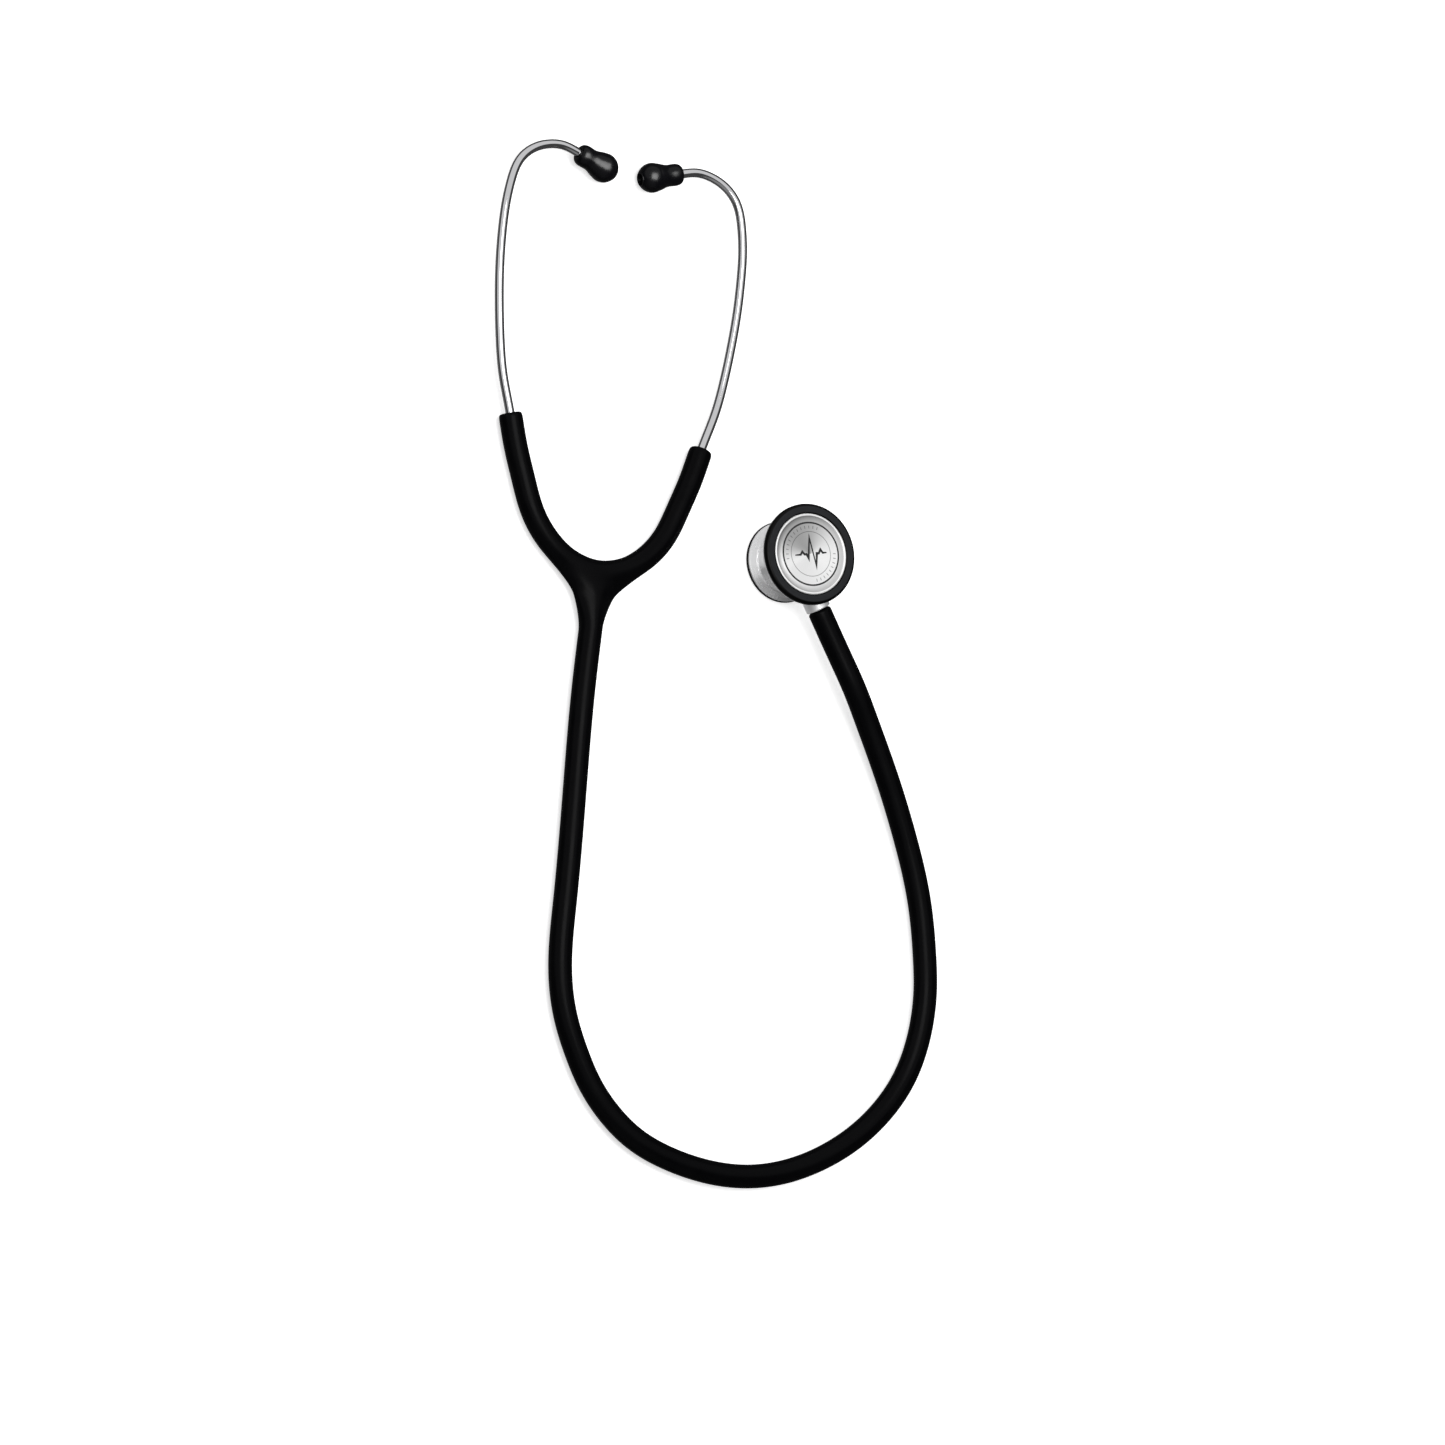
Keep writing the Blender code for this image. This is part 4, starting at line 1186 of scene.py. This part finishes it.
def studio():
    """Lit white floor, a softbox overhead, a soft sun and a tent with a dark side."""
    deselect()
    bpy.ops.mesh.primitive_plane_add(size=12.0, location=(0.0, 0.0, -0.0002))
    floor = bpy.context.object
    floor.name = "studio_floor"
    material, shader, coords = new_material("lit_white_acrylic", {
        "Roughness": 0.9,
        "Specular IOR Level": 0.1,
        "Emission Color": srgb("#ffffff"),
        "Emission Strength": FLOOR_GLOW,
    })
    haze = add_node(
        material, "ShaderNodeTexNoise", {"Scale": spacing(60.0), "Detail": 1.0}, {"Vector": coords},
    )
    tint = add_node(
        material, "ShaderNodeMix",
        {"data_type": "RGBA", 6: srgb("#f3f3f3"), 7: srgb("#f5f5f5")}, {0: haze.outputs["Fac"]},
    )
    link(material, tint.outputs[2], shader, "Base Color")
    floor.data.materials.append(material)
    floor.visible_glossy = False

    sun = add_light("soft_sun", "SUN", Vector((0.25, 0.1, 1.0)))
    sun.data.energy = SUN_STRENGTH
    sun.data.angle = math.radians(50.0)
    sun.visible_glossy = False
    box = add_light("overhead_softbox", "AREA", SOFTBOX_AXIS)
    box.data.size = 2.0 * math.tan(math.radians(SOFTBOX_HALF_ANGLE))
    box.data.energy = SOFTBOX_RADIANCE * math.pi * box.data.size ** 2
    box.visible_camera = False
    # A small softbox close over the two tips
    tips = [Vector(JOINTS[prefix + "_eartip_turn"]["pos_m"]) for prefix in ("left", "right")]
    between = sum(tips, Vector()) / 2.0
    near = add_light("tip_softbox", "AREA", Vector((0.0, 0.0, 1.0)), between, TIP_BOX_HEIGHT)
    near.data.size = TIP_BOX_SIZE
    near.data.energy = TIP_BOX_RADIANCE * math.pi * TIP_BOX_SIZE ** 2
    near.visible_camera = False
    lit = bpy.data.collections.new("lit_by_tip_softbox")
    for prefix in ("left", "right"):
        lit.objects.link(bpy.data.objects[prefix + "_soft_tip"])
    near.light_linking.receiver_collection = lit

    world = bpy.data.worlds.new("light_tent")
    bpy.context.scene.world = world
    world.use_nodes = True
    coords = add_node(world, "ShaderNodeTexCoord").outputs["Generated"]
    # What glossy faces see: a roof that leans left, the lit floor, and a panel at one end
    panels = []
    for axis, low, high, floor_level, top in TENT_PANELS:
        lean = add_node(
            world, "ShaderNodeVectorMath", {"operation": "DOT_PRODUCT", 1: axis}, {0: coords},
        )
        panel = add_node(
            world, "ShaderNodeMapRange",
            {"interpolation_type": "SMOOTHSTEP", "From Min": low, "From Max": high,
             "To Min": floor_level, "To Max": top},
            {"Value": lean.outputs["Value"]},
        ).outputs["Result"]
        panels.append(panel)
    level = panels[0]
    for panel in panels[1:]:
        total = add_node(world, "ShaderNodeMath", {"operation": "ADD"}, {0: level, 1: panel})
        level = total.outputs["Value"]
    rays = add_node(world, "ShaderNodeLightPath")
    soft = add_node(
        world, "ShaderNodeMix", {"data_type": "FLOAT", 2: TENT_FILL},
        {0: rays.outputs["Is Glossy Ray"], 3: level},
    )
    seen = add_node(
        world, "ShaderNodeMix", {"data_type": "FLOAT", 3: 1.0},
        {0: rays.outputs["Is Camera Ray"], 2: soft.outputs[0]},
    )
    shade = world.node_tree.nodes["Background"]
    shade.inputs["Color"].default_value = srgb("#ffffff")
    world.node_tree.links.new(seen.outputs[0], shade.inputs["Strength"])
    bpy.context.scene.view_settings.view_transform = "Standard"


def add_light(name, kind, direction, middle=Vector((0.03, -0.08, 0.0)), reach=1.0):
    """A light at its reach from a middle, facing it."""
    light = bpy.data.objects.new(name, bpy.data.lights.new(name, kind))
    bpy.context.collection.objects.link(light)
    light.location = middle + direction.normalized() * reach
    light.rotation_euler = direction.to_track_quat("Z", "Y").to_euler()
    return light


add_camera()
free_tube()
y_moulding()
leaf_springs()
ear_tubes()
ear_tips()
stem()
chestpiece_shell()
rims()
diaphragm_disc()
pulse_mark()
hidden_pieces()
studio()
